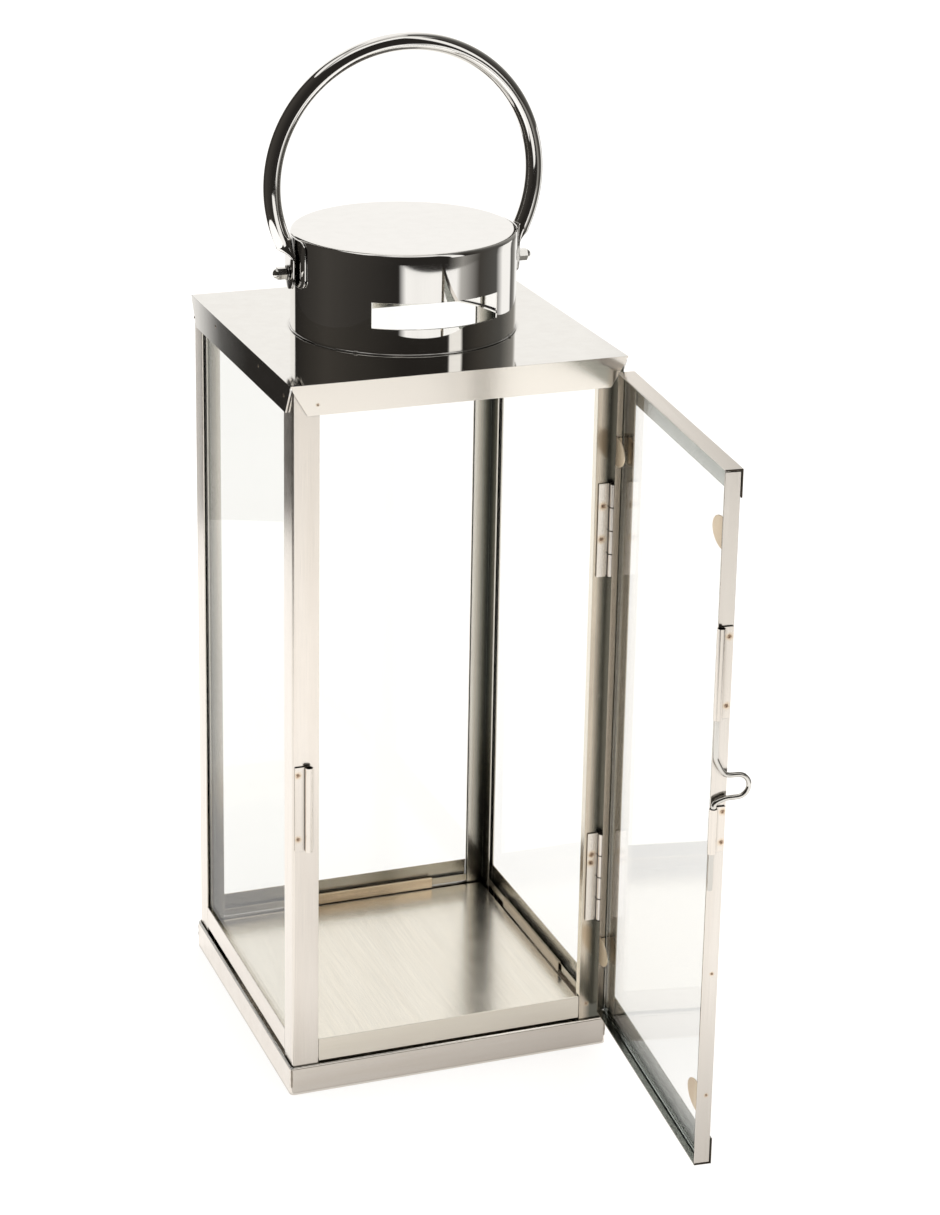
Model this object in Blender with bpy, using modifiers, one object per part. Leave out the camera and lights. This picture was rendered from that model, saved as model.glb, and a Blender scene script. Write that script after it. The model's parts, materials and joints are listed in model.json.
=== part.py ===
"""Candle lantern: a stainless steel box lantern with glass sides, a hinged glass door and a ring handle.

Units are metres. X points to the right, seen from the door, Y to the back and Z up. The origin is the
middle of the underside of the base tray. The door stands open, the latch bolt is down and the handle is up.
"""

import math

import bmesh
import bpy
from mathutils import Matrix, Vector

# Sheet metal and fits
SHEET = 0.0008
GAP = 0.0003

# Base tray
TRAY_HALF = 0.085
TRAY_HEIGHT = 0.014
TRAY_CORNER = 0.0024
HEM_HEIGHT = 0.003
HEM_INNER_HALF = 0.0838

# Body: corner posts, bottom rails and floor
BODY_HALF = 0.0835
POST_WIDTH = 0.0133
POST_CORNER = 0.0012
SLOT_INNER = 0.0034
POST_BOTTOM = SHEET + GAP
RAIL_BOTTOM = 0.0175
RAIL_TOP = 0.0293
RAIL_LIP_TOP = 0.0214
THRESHOLD_BOTTOM = 0.0162
THRESHOLD_TOP = 0.0283
THRESHOLD_SHELF = 0.004
FLOOR_TOP = 0.0160
FLOOR_HALF = 0.0778
GLASS = 0.0020
STRIP_LENGTH = 0.080
STRIP_BOTTOM = 0.0165
STRIP_SHIFTS = {"left": 0.006, "right": 0.004, "back": -0.009}

# Roof and chimney
ROOF_HALF = 0.0847
ROOF_TOP = 0.369
ROOF_SHEET = 0.0009
ROOF_FLANGE = 0.015
ROOF_FLANGE_BEVEL = 0.0084
VENT_RADIUS = 0.0535
DRUM_RADIUS = 0.0558
DRUM_HEIGHT = 0.0496
DRUM_ROUND = 0.0016
DRUM_SLOT_WIDTH = 0.064
DRUM_SLOT_LOW = 0.0130
DRUM_SLOT_HIGH = 0.0257
DRUM_SIDES = 64
BRACKET_SIDES = 96

# Handle and its pivots
PIVOT_ABOVE_ROOF = 0.031
PIVOT_HEIGHT = ROOF_TOP + PIVOT_ABOVE_ROOF
RING_RADIUS = 0.0677
RING_LIFT = 0.0430
RING_TUBE = 0.0043
RING_LEAN = math.radians(1.0)
RING_END_ANGLE = math.radians(-24.5)
RING_STEPS = 22
RING_SIDES = 14
TONGUE_WIDTH = 0.0130
TONGUE_THICK = 0.0016
TONGUE_X = DRUM_RADIUS + 0.0027
TONGUE_BELOW = 0.0080
TONGUE_ROUND = 0.0052
TONGUE_TOP = 0.0077
BAR_POWER = 0.45
BRACKET_WIDTH = 0.027
BRACKET_LOW = 0.025
BRACKET_HIGH = 0.0485
BRACKET_CORNER = 0.005
BOLT_RADIUS = 0.0015
BOLT_HEAD_RADIUS = 0.0028
BOLT_HEAD = 0.0020
WASHER_RADIUS = 0.0038
WASHER_THICK = 0.0006
NUT_FLATS = 0.0055
NUT_LENGTH = 0.0044
NUT_DOME = 0.0026
NUT_DOME_RADIUS = 0.47 * NUT_FLATS
NUT_CAP = 0.0012

# Door
HINGE_X = 0.0789
HINGE_Y = -0.0855
DOOR_OPEN = math.radians(84.6)
DOOR_HINGE_EDGE = 0.0020
DOOR_FREE_EDGE = 0.1525
DOOR_INNER = -0.0004
STILE_OUTER = 0.0069
DOOR_OUTER = 0.0080
DOOR_BOTTOM = 0.0203
DOOR_TOP = 0.3623
DOOR_FLANGE = 0.0133
DOOR_GLASS_INNER = 0.0028
DOOR_GLASS = 0.0030
TAB_CHORD = 0.0150
TAB_REACH = 0.0125
TAB_SHEET = 0.0006
TAB_FOOT = 0.0135
TAB_STEPS = 12
TAB_HEIGHTS = {"hinge_upper": 0.323, "hinge_lower": 0.056, "free_upper": 0.333, "free_lower": 0.056}

# Hinges
KNUCKLE_RADIUS = 0.0017
PIN_RADIUS = 0.0008
KNUCKLE_LENGTH = 0.0120
KNUCKLES = 4
LEAF = 0.0007
POST_LEAF_WIDTH = 0.0071
DOOR_LEAF_WIDTH = 0.0062
HINGE_HEIGHTS = {"upper": 0.2813, "lower": 0.0955}

# Latch: a sliding wire bolt in two barrels on the door, and a catch barrel on the post
WIRE_RADIUS = 0.0012
BARREL_RADIUS = 0.0019
BARREL_BORE = 0.0015
BARREL_LEAF_WIDTH = 0.0063
LATCH_LINE = -DOOR_FREE_EDGE - GAP - BARREL_RADIUS
LATCH_OUT = 0.0002
CATCH_LEAF_EDGE = -0.0825
UPPER_BARREL = (0.2463, 0.2898)
LOWER_BARREL = (0.1813, 0.2032)
CATCH_BARREL = (0.1328, 0.1770)
WIRE_TOP = 0.2860
WIRE_BOTTOM = 0.1632
LOOP_TOP = 0.2190
LOOP_BOTTOM = 0.2080
LOOP_START = 0.0050
LOOP_REACH = 0.0165
LOOP_RISE = 0.0095
LOOP_DROP = 0.0040
LOOP_BEND = 0.0005
LOOP_STEPS = 8

# Small values used by many shapes
CUT = 0.002
CURVE_SIDES = 24
WELD = 0.00001
BEVEL_STEPS = 5


def clear_scene():
    for old in list(bpy.data.objects):
        bpy.data.objects.remove(old, do_unlink=True)


def new_collection(name):
    collection = bpy.data.collections.new(name)
    bpy.context.scene.collection.children.link(collection)
    return collection


def make_material(name, color, roughness, metallic, transmission=0.0):
    material = bpy.data.materials.new(name)
    material.use_nodes = True
    shader = material.node_tree.nodes["Principled BSDF"]
    shader.inputs["Base Color"].default_value = (*color, 1.0)
    shader.inputs["Roughness"].default_value = roughness
    shader.inputs["Metallic"].default_value = metallic
    shader.inputs["Transmission Weight"].default_value = transmission
    return material


def polished_steel():
    return make_material("polished_steel", (0.66, 0.64, 0.61), 0.16, 1.0)


def mirror_steel():
    return make_material("mirror_steel", (0.74, 0.72, 0.69), 0.06, 1.0)


def brushed_steel():
    return make_material("brushed_steel", (0.62, 0.58, 0.53), 0.34, 1.0)


def clear_glass():
    return make_material("clear_glass", (0.95, 0.98, 0.96), 0.02, 0.0, 1.0)


def add_object(name, data, collection, material):
    """An object with a material of its own, which is a copy of the kind it is given."""
    made = bpy.data.objects.new(name, data)
    collection.objects.link(made)
    if material is not None:
        own = material.copy()
        own.name = name + "_" + material.name
        data.materials.append(own)
    return made


def finish_mesh(name, bm, collection, material, smooth=False):
    bmesh.ops.recalc_face_normals(bm, faces=bm.faces)
    mesh = bpy.data.meshes.new(name)
    bm.to_mesh(mesh)
    bm.free()
    if smooth:
        mesh.shade_smooth()
        mesh.set_sharp_from_angle(angle=math.radians(35))
    return add_object(name, mesh, collection, material)


def box(name, low, high, collection, material=None):
    """A box between two corners."""
    low, high = Vector(low), Vector(high)
    bm = bmesh.new()
    size = high - low
    bmesh.ops.create_cube(bm, size=1.0)
    bmesh.ops.scale(bm, vec=size, verts=bm.verts)
    bmesh.ops.translate(bm, vec=(low + high) / 2, verts=bm.verts)
    return finish_mesh(name, bm, collection, material)


def rod(name, start, end, radius, collection, material=None, sides=CURVE_SIDES):
    """A round rod between two points."""
    start, end = Vector(start), Vector(end)
    along = end - start
    bm = bmesh.new()
    bmesh.ops.create_cone(
        bm, cap_ends=True, segments=sides, radius1=radius, radius2=radius, depth=along.length
    )
    turn = Vector((0, 0, 1)).rotation_difference(along.normalized()).to_matrix()
    bmesh.ops.rotate(bm, verts=bm.verts, matrix=turn, cent=(0, 0, 0))
    bmesh.ops.translate(bm, vec=(start + end) / 2, verts=bm.verts)
    return finish_mesh(name, bm, collection, material, smooth=True)


def section_bar(name, outline, length, place, collection, material):
    """A bar of constant section: a closed outline in the bar's own XY plane, pushed along its own Z."""
    flat = bpy.data.curves.new(name, "CURVE")
    flat.dimensions = "2D"
    flat.fill_mode = "BOTH"
    flat.extrude = length / 2
    edge = flat.splines.new("POLY")
    edge.use_cyclic_u = True
    edge.points.add(len(outline) - 1)
    for point, (x, y) in zip(edge.points, outline):
        point.co = (x, y, 0, 1)
    shape = bpy.data.objects.new(name + "_outline", flat)
    bpy.context.scene.collection.objects.link(shape)
    seen = bpy.context.evaluated_depsgraph_get()
    bm = bmesh.new()
    bm.from_mesh(bpy.data.meshes.new_from_object(shape.evaluated_get(seen)))
    bpy.data.objects.remove(shape)
    bmesh.ops.remove_doubles(bm, verts=bm.verts, dist=WELD)
    bmesh.ops.translate(bm, vec=(0, 0, length / 2), verts=bm.verts)
    bmesh.ops.transform(bm, matrix=place, verts=bm.verts)
    return finish_mesh(name, bm, collection, material)


def axes_at(origin, x_axis, y_axis):
    """A placement whose own X and Y run along the given world directions."""
    x_axis, y_axis = Vector(x_axis), Vector(y_axis)
    z_axis = x_axis.cross(y_axis)
    turn = Matrix((x_axis, y_axis, z_axis)).transposed().to_4x4()
    return Matrix.Translation(origin) @ turn


def joint_axis(name, place, turn, collection):
    """An empty on a joint's axis, which carries the pieces that move about it."""
    axis = bpy.data.objects.new(name, None)
    collection.objects.link(axis)
    axis.location = place
    axis.rotation_euler = turn
    return axis


def hang(pieces, axis):
    for piece in pieces:
        piece.parent = axis


def combine(target, other, operation):
    """A Boolean between two objects. The second one is a guide and is hidden."""
    step = target.modifiers.new(operation.lower() + "_" + other.name, "BOOLEAN")
    step.operation = operation
    step.solver = "EXACT"
    step.object = other
    other.hide_render = True
    other.display_type = "WIRE"


def cut_with(target, cutter):
    combine(target, cutter, "DIFFERENCE")


def join_with(target, other):
    combine(target, other, "UNION")


# Base ---------------------------------------------------------------------------------------------


def bevel_edges(block, direction, width):
    """Rounds the edges of a box that run along X, Y or Z (direction 0, 1 or 2)."""
    bm = bmesh.new()
    bm.from_mesh(block.data)
    edges = []
    for edge in bm.edges:
        first, second = edge.verts
        if abs(first.co[direction] - second.co[direction]) > GAP:
            edges.append(edge)
    bmesh.ops.bevel(bm, geom=edges, offset=width, segments=BEVEL_STEPS, affect="EDGES", profile=0.5)
    bm.to_mesh(block.data)
    bm.free()


def rounded_block(name, half, low, high, corner, collection, material=None):
    """A square block with round upright edges."""
    block = box(name, (-half, -half, low), (half, half, high), collection, material)
    bevel_edges(block, 2, corner)
    return block


def base_tray(parts, cutters, steel):
    """A shallow square pan whose rim is folded in on itself."""
    tray = rounded_block("base_tray", TRAY_HALF, 0.0, TRAY_HEIGHT, TRAY_CORNER, parts, steel)
    well_half = TRAY_HALF - SHEET
    well_top = TRAY_HEIGHT - HEM_HEIGHT
    well = rounded_block("tray_well", well_half, SHEET, well_top, TRAY_CORNER - SHEET, cutters)
    corner = TRAY_CORNER - (TRAY_HALF - HEM_INNER_HALF)
    mouth = rounded_block("tray_mouth", HEM_INNER_HALF, well_top - GAP, TRAY_HEIGHT + CUT, corner, cutters)
    cut_with(tray, well)
    cut_with(tray, mouth)


def floor_plate(parts, cutters, steel):
    """The candle floor: a flat plate with a skirt on all four sides that stands in the tray."""
    low = SHEET + GAP
    half = FLOOR_HALF
    inside = half - SHEET
    plate = box("floor_plate", (-half, -half, low), (half, half, FLOOR_TOP), parts, steel)
    under = FLOOR_TOP - SHEET
    cut_with(plate, box("floor_hollow", (-inside, -inside, low - CUT), (inside, inside, under), cutters))


def post_outline():
    """A corner post: an outer angle and a smaller inner angle, with a slot for glass along each side."""
    w = POST_WIDTH
    t = SHEET
    slot = SLOT_INNER
    inner = SLOT_INNER + SHEET
    one_side = [(w, 0), (w, t), (inner, t), (inner, slot), (w, slot), (w, inner)]
    other_side = [(y, x) for x, y in reversed(one_side)]
    corner = []
    for i in range(4):
        angle = math.pi + math.pi / 2 * i / 3
        corner.append((POST_CORNER * (1 + math.cos(angle)), POST_CORNER * (1 + math.sin(angle))))
    return [*corner, *one_side, (inner, inner), *other_side]


def corner_posts(parts, steel):
    length = ROOF_TOP - ROOF_SHEET - GAP - POST_BOTTOM
    outline = post_outline()
    for depth_name, y_sign in (("front", -1), ("back", 1)):
        for side_name, x_sign in (("left", -1), ("right", 1)):
            place = Matrix.Translation((x_sign * BODY_HALF, y_sign * BODY_HALF, POST_BOTTOM))
            mirrored = [(-x_sign * x, -y_sign * y) for x, y in outline]
            section_bar("post_" + depth_name + "_" + side_name, mirrored, length, place, parts, steel)


def rail_outline():
    """A bottom rail: an outer band, a web and a low inner lip. X runs inwards and Y runs up."""
    t = SHEET
    top = RAIL_TOP - RAIL_BOTTOM
    lip = RAIL_LIP_TOP - RAIL_BOTTOM
    inner = SLOT_INNER + SHEET
    hook = [(inner, 0), (inner, lip), (SLOT_INNER, lip), (SLOT_INNER, t)]
    return [(0, 0), *hook, (t, t), (t, top), (0, top)]


def side_axes(side):
    """The inward direction and the outer face's middle, for a side of the body."""
    inward = {"left": (1, 0, 0), "right": (-1, 0, 0), "back": (0, -1, 0), "front": (0, 1, 0)}[side]
    return Vector(inward), -BODY_HALF * Vector(inward)


def bar_on_side(name, side, outline, length, height, parts, material, shift=0.0):
    """A level bar along one side of the body, centred on it apart from shift, with its section up."""
    inward, face = side_axes(side)
    along = inward.cross(Vector((0, 0, 1)))
    start = face - along * (length / 2) + along * shift
    start.z = height
    place = axes_at(start, inward, (0, 0, 1))
    return section_bar(name, outline, length, place, parts, material)


def bottom_rails(parts, steel):
    length = 2 * (BODY_HALF - POST_WIDTH - GAP)
    for side in ("left", "right", "back"):
        bar_on_side("bottom_rail_" + side, side, rail_outline(), length, RAIL_BOTTOM, parts, steel)


def front_threshold(parts, steel):
    """The band across the front under the door opening, with a shelf folded inwards."""
    t = SHEET
    top = THRESHOLD_TOP - THRESHOLD_BOTTOM
    outline = [(0, 0), (THRESHOLD_SHELF, 0), (THRESHOLD_SHELF, t), (t, t), (t, top), (0, top)]
    length = 2 * (BODY_HALF - POST_WIDTH - GAP)
    bar_on_side("front_threshold", "front", outline, length, THRESHOLD_BOTTOM, parts, steel)


def side_glass(parts, glass):
    """Three fixed panes, standing in the rails and held by the slots of the posts."""
    reach = BODY_HALF - SLOT_INNER - SHEET - GAP
    low = RAIL_BOTTOM + SHEET + GAP
    high = ROOF_TOP - ROOF_SHEET - 4 * GAP
    outer = SHEET + GAP
    outline = [(outer, 0), (outer + GLASS, 0), (outer + GLASS, high - low), (outer, high - low)]
    for side in ("left", "right", "back"):
        bar_on_side("glass_" + side, side, outline, 2 * reach, low, parts, glass)


def glass_strips(parts, steel):
    """Folded strips that hook over the lip of each rail and hold the foot of the glass."""
    t = SHEET
    inner = SLOT_INNER + SHEET + GAP
    hook = RAIL_LIP_TOP + GAP - STRIP_BOTTOM
    outer = SLOT_INNER + GAP
    outline = [(inner, 0), (inner + t, 0), (inner + t, hook + t)]
    outline += [(outer, hook + t), (outer, hook), (inner, hook)]
    for side, shift in STRIP_SHIFTS.items():
        bar_on_side("glass_strip_" + side, side, outline, STRIP_LENGTH, STRIP_BOTTOM, parts, steel, shift)


# Roof and chimney ---------------------------------------------------------------------------------


def flange_notch(name, side, end, cutters):
    """A wedge that slants one end of one roof flange."""
    inward, _ = side_axes(side)
    along = inward.cross(Vector((0, 0, 1))) * end
    drop = ROOF_FLANGE - ROOF_SHEET
    corner = -inward * ROOF_HALF + along * ROOF_HALF
    corner.z = ROOF_TOP - ROOF_SHEET
    corner -= inward * CUT
    extra = CUT / drop * ROOF_FLANGE_BEVEL
    outline = [(CUT, 0), (0, 0), (-ROOF_FLANGE_BEVEL - extra, -drop - CUT), (CUT, -drop - CUT)]
    place = axes_at(corner, along, (0, 0, 1))
    depth = ROOF_SHEET + CUT + GAP / 2
    if along.cross(Vector((0, 0, 1))).dot(inward) < 0:
        place = Matrix.Translation(inward * depth) @ place
    return section_bar(name, outline, depth, place, cutters, None)


def roof_plate(parts, cutters, steel):
    """A flat square roof with a downturned flange on each side and a round vent under the chimney."""
    low = ROOF_TOP - ROOF_FLANGE
    roof = box("roof_plate", (-ROOF_HALF, -ROOF_HALF, low), (ROOF_HALF, ROOF_HALF, ROOF_TOP), parts, steel)
    inside = ROOF_HALF - ROOF_SHEET
    under = ROOF_TOP - ROOF_SHEET
    cut_with(roof, box("roof_hollow", (-inside, -inside, low - CUT), (inside, inside, under), cutters))
    vent_low = (0, 0, under - CUT)
    vent_high = (0, 0, ROOF_TOP + CUT)
    cut_with(roof, rod("roof_vent", vent_low, vent_high, VENT_RADIUS, cutters, sides=72))
    for side in ("left", "right", "back", "front"):
        for end in (-1, 1):
            name = "roof_notch_" + side + ("_a" if end < 0 else "_b")
            cut_with(roof, flange_notch(name, side, end, cutters))


def turned(name, profile, steps, collection, material):
    """A turned shape: a closed profile of (radius, height) points around Z, down its outer side."""
    bm = bmesh.new()
    corners = [bm.verts.new((r, 0, z)) for r, z in profile]
    for first, second in zip(corners, corners[1:]):
        bm.edges.new((first, second))
    mesh = bpy.data.meshes.new(name)
    bm.to_mesh(mesh)
    bm.free()
    made = add_object(name, mesh, collection, material)
    screw = made.modifiers.new("turn", "SCREW")
    screw.steps = steps
    screw.render_steps = steps
    screw.use_merge_vertices = True
    screw.merge_threshold = 0.00005
    screw.use_normal_calculate = True
    screw.use_smooth_shade = True
    return made


def drum_profile():
    """The chimney's wall and flat top, with a small round between them. It is open underneath."""
    base = ROOF_TOP + GAP
    top = ROOF_TOP + DRUM_HEIGHT
    inner = DRUM_RADIUS - SHEET
    steps = 4
    rim = []
    for i in range(steps + 1):
        angle = math.pi / 2 * (1 - i / steps)
        rim.append(
            (
                DRUM_RADIUS - DRUM_ROUND + DRUM_ROUND * math.cos(angle),
                top - DRUM_ROUND + DRUM_ROUND * math.sin(angle),
            )
        )
    return [(0, top), *rim, (DRUM_RADIUS, base), (inner, base), (inner, top - SHEET), (0, top - SHEET)]


def chimney_drum(parts, cutters, steel):
    """The chimney: a drum with an air slot at the front and at the back, and a hole for each pivot bolt."""
    drum = turned("chimney_drum", drum_profile(), DRUM_SIDES, parts, steel)
    half = DRUM_SLOT_WIDTH / 2
    reach = DRUM_RADIUS + CUT
    low = ROOF_TOP + DRUM_SLOT_LOW
    high = ROOF_TOP + DRUM_SLOT_HIGH
    cut_with(drum, box("drum_slots", (-half, -reach, low), (half, reach, high), cutters))
    bore_start = (-reach, 0, PIVOT_HEIGHT)
    bore_end = (reach, 0, PIVOT_HEIGHT)
    cut_with(drum, rod("drum_pivot_holes", bore_start, bore_end, BOLT_RADIUS + GAP, cutters))


def handle_bracket(side, sign, parts, cutters, steel):
    """A plate with round corners, curved to the drum, that backs the pivot bolt."""
    inner = DRUM_RADIUS + GAP
    outer = inner + SHEET
    low = ROOF_TOP + BRACKET_LOW
    high = ROOF_TOP + BRACKET_HIGH
    sleeve = [(outer, high + CUT), (outer, low - CUT), (inner, low - CUT), (inner, high + CUT)]
    plate = turned("handle_bracket_" + side, [*sleeve, sleeve[0]], BRACKET_SIDES, parts, steel)
    middle = sign * DRUM_RADIUS
    near, far = sorted((middle - sign * BRACKET_WIDTH / 2, middle + sign * BRACKET_WIDTH / 2))
    outline = box(
        "bracket_outline_" + side, (near, -BRACKET_WIDTH / 2, low), (far, BRACKET_WIDTH / 2, high), cutters
    )
    bevel_edges(outline, 0, BRACKET_CORNER)
    combine(plate, outline, "INTERSECT")
    bore_start = (middle - CUT, 0, PIVOT_HEIGHT)
    bore_end = (middle + 2 * CUT, 0, PIVOT_HEIGHT)
    cut_with(plate, rod("bracket_hole_" + side, bore_start, bore_end, BOLT_RADIUS + GAP, cutters))


# Pivots and handle --------------------------------------------------------------------------------


def nut_start():
    """Distance from the lantern's axis to the inner face of each acorn nut."""
    return TONGUE_X + TONGUE_THICK / 2 + GAP + WASHER_THICK + GAP


def x_rod(name, sign, near, far, radius, collection, material=None, sides=16):
    """A rod on the pivot axis, on the right (sign 1) or the left (sign -1) of the drum."""
    start = (sign * near, 0, PIVOT_HEIGHT)
    end = (sign * far, 0, PIVOT_HEIGHT)
    return rod(name, start, end, radius, collection, material, sides)


def pivot_bolt(side, sign, parts, cutters, steel):
    """A bolt whose flat head is inside the drum."""
    head_outer = DRUM_RADIUS - SHEET - 2 * GAP
    head_inner = head_outer - BOLT_HEAD
    end = nut_start() + NUT_LENGTH - NUT_CAP
    bolt = x_rod("pivot_bolt_" + side, sign, head_inner + BOLT_HEAD / 2, end, BOLT_RADIUS, parts, steel)
    join_with(bolt, x_rod("bolt_head_" + side, sign, head_inner, head_outer, BOLT_HEAD_RADIUS, cutters))


def pivot_washer(side, sign, parts, cutters, steel):
    start = nut_start() - GAP - WASHER_THICK
    end = nut_start() - GAP
    washer = x_rod("pivot_washer_" + side, sign, start, end, WASHER_RADIUS, parts, steel, CURVE_SIDES)
    cut_with(washer, x_rod("washer_hole_" + side, sign, start - CUT, end + CUT, BOLT_RADIUS + GAP, cutters))


def acorn_nut(side, sign, parts, cutters, steel):
    """A hexagon nut with a domed end and a blind thread."""
    start = nut_start()
    end = start + NUT_LENGTH
    nut = x_rod("acorn_nut_" + side, sign, start, end, NUT_FLATS / math.sqrt(3), parts, steel, 6)
    bm = bmesh.new()
    bmesh.ops.create_uvsphere(bm, u_segments=20, v_segments=12, radius=1.0)
    bmesh.ops.scale(bm, vec=(NUT_DOME, NUT_DOME_RADIUS, NUT_DOME_RADIUS), verts=bm.verts)
    bmesh.ops.translate(bm, vec=(sign * (end - GAP), 0, PIVOT_HEIGHT), verts=bm.verts)
    join_with(nut, finish_mesh("nut_dome_" + side, bm, cutters, None, smooth=True))
    thread_end = end - NUT_CAP + GAP
    cut_with(nut, x_rod("nut_thread_" + side, sign, start - CUT, thread_end, BOLT_RADIUS + GAP, cutters))


def tongue_stations():
    """The pressed-flat foot of the handle. Its round end follows a circle about the bolt."""
    stations = []
    for i in range(1, 5):
        angle = math.pi / 2 * i / 4
        height = -TONGUE_BELOW + TONGUE_ROUND * (1 - math.cos(angle))
        stations.append((TONGUE_X, height, 0.0, TONGUE_WIDTH / 2 * math.sin(angle), TONGUE_THICK / 2, 0.0))
    stations.append((TONGUE_X, TONGUE_TOP, 0.0, TONGUE_WIDTH / 2, TONGUE_THICK / 2, 0.0))
    return stations


def neck_stations():
    """Between the flat foot and the round tube, where one section turns into the other."""
    end_x = RING_RADIUS * math.cos(RING_END_ANGLE)
    arc_low = RING_LIFT + RING_RADIUS * math.sin(RING_END_ANGLE)
    stations = []
    for share in (0.3, 0.6, 0.85):
        blend = share * share * (3 - 2 * share)
        x = TONGUE_X + (end_x - TONGUE_X) * blend
        height = TONGUE_TOP + (arc_low - TONGUE_TOP) * share
        wide = TONGUE_WIDTH / 2 + (RING_TUBE - TONGUE_WIDTH / 2) * blend
        thick = TONGUE_THICK / 2 + (RING_TUBE - TONGUE_THICK / 2) * blend
        stations.append((x, height, RING_END_ANGLE * blend, wide, thick, blend))
    return stations


def arc_stations():
    """The round tube from one end of its arc to the top."""
    stations = []
    for i in range(RING_STEPS + 1):
        angle = RING_END_ANGLE + (math.pi / 2 - RING_END_ANGLE) * i / RING_STEPS
        x = RING_RADIUS * math.cos(angle)
        height = RING_LIFT + RING_RADIUS * math.sin(angle)
        stations.append((x, height, angle, RING_TUBE, RING_TUBE, 1.0))
    return stations


def section_ring(bm, centre, outward, half_wide, half_thick, roundness):
    """One ring of vertices. Its shape goes from a flat bar to a circle as roundness goes from 0 to 1."""
    side = Vector((0, 1, 0))
    ring = []
    power = BAR_POWER + (1 - BAR_POWER) * roundness
    for k in range(RING_SIDES):
        angle = 2 * math.pi * (k + 0.5) / RING_SIDES
        across = math.copysign(abs(math.cos(angle)) ** power, math.cos(angle)) * half_wide
        out = math.copysign(abs(math.sin(angle)) ** power, math.sin(angle)) * half_thick
        ring.append(bm.verts.new(centre + side * across + outward * out))
    return ring


def handle_ring(parts, cutters, steel):
    """The ring handle: a round tube whose two ends are pressed flat and drilled for the pivot bolts."""
    bm = bmesh.new()
    half = [*tongue_stations(), *neck_stations(), *arc_stations()]
    path = [(-1, station) for station in half]
    path += [(1, station) for station in reversed(half[:-1])]
    rings = []
    for sign, (x, height, angle, wide, thick, roundness) in path:
        outward = Vector((sign * math.cos(angle), 0, math.sin(angle)))
        rings.append(section_ring(bm, Vector((sign * x, 0, height)), outward, wide, thick, roundness))
    for first, second in zip(rings, rings[1:]):
        for k in range(RING_SIDES):
            nxt = (k + 1) % RING_SIDES
            bm.faces.new((first[k], first[nxt], second[nxt], second[k]))
    bm.faces.new(reversed(rings[0]))
    bm.faces.new(rings[-1])
    ring = finish_mesh("handle_ring", bm, parts, steel, smooth=True)
    reach = TONGUE_X + CUT
    hole = rod("ring_holes", (-reach, 0, 0), (reach, 0, 0), BOLT_RADIUS + GAP, cutters, sides=16)
    cut_with(ring, hole)
    axis = joint_axis("handle_axis", (0, 0, PIVOT_HEIGHT), (RING_LEAN, 0, 0), parts)
    hang([ring, hole], axis)


# Door ---------------------------------------------------------------------------------------------
# The door is made shut, about its hinge axis: its free edge is at -X and its outside at -Y. The axis, which
# carries all of it, then swings it open.


def door_section(edge, inward, outer):
    """The section of a side of the door: a web round the edge and a flange over the glass."""
    t = SHEET
    shape = [(0, DOOR_INNER), (t, DOOR_INNER), (t, outer - t), (DOOR_FLANGE, outer - t)]
    shape += [(DOOR_FLANGE, outer), (0, outer)]
    return [(edge + inward * x, y) for x, y in shape]


def door_stiles(axis, parts, steel):
    """The upright sides of the door."""
    low = DOOR_BOTTOM + SHEET + GAP
    high = DOOR_TOP - SHEET - GAP
    place = Matrix.Translation((0, 0, low))
    sides = (("door_stile_hinge", DOOR_HINGE_EDGE, 1), ("door_stile_free", DOOR_FREE_EDGE, -1))
    for name, edge, inward in sides:
        outline = [(-x, -y) for x, y in door_section(edge, inward, STILE_OUTER)]
        hang([section_bar(name, outline, high - low, place, parts, steel)], axis)


def door_rails(axis, parts, steel):
    """The top and bottom of the door. Their flanges lie over the ends of the stiles."""
    length = DOOR_FREE_EDGE - DOOR_HINGE_EDGE
    place = axes_at((-DOOR_FREE_EDGE, 0, 0), (0, 0, 1), (0, -1, 0))
    for name, edge, inward in (("door_rail_top", DOOR_TOP, -1), ("door_rail_bottom", DOOR_BOTTOM, 1)):
        outline = door_section(edge, inward, DOOR_OUTER)
        hang([section_bar(name, outline, length, place, parts, steel)], axis)


def door_glass(axis, parts, glass):
    inset = SHEET + 2 * GAP
    low = (inset - DOOR_FREE_EDGE, -DOOR_GLASS_INNER - DOOR_GLASS, DOOR_BOTTOM + inset)
    high = (-inset - DOOR_HINGE_EDGE, -DOOR_GLASS_INNER, DOOR_TOP - inset)
    hang([box("door_glass", low, high, parts, glass)], axis)


def half_moon(root, reach, middle):
    """The outline of a tongue in the door's plane, from a straight root to a round tip."""
    points = []
    for i in range(TAB_STEPS + 1):
        angle = math.pi * i / TAB_STEPS - math.pi / 2
        points.append((root + reach * math.cos(angle), middle + TAB_CHORD / 2 * math.sin(angle)))
    return points


def door_glass_tabs(axis, parts, cutters, steel):
    """Four half-moon tabs, spot-welded inside the stiles, that hold the glass in the door."""
    outer = DOOR_INNER + TAB_SHEET
    place = axes_at((0, -outer, 0), (-1, 0, 0), (0, 0, 1))
    for where, middle in TAB_HEIGHTS.items():
        inward = 1 if where.startswith("hinge") else -1
        root = DOOR_HINGE_EDGE if inward == 1 else DOOR_FREE_EDGE
        root += inward * (SHEET + GAP)
        outline = half_moon(root, inward * TAB_REACH, middle)
        moon = section_bar("door_glass_tab_" + where, outline, TAB_SHEET, place, parts, steel)
        near, far = sorted((-root, -root - inward * TAB_SHEET))
        half = TAB_FOOT / 2
        foot = box(
            "tab_foot_" + where, (near, GAP - DOOR_GLASS_INNER, middle - half),
            (far, -DOOR_INNER - TAB_SHEET / 2, middle + half), cutters,
        )
        hang([moon, foot], axis)
        join_with(moon, foot)


# Hinges -------------------------------------------------------------------------------------------


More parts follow.
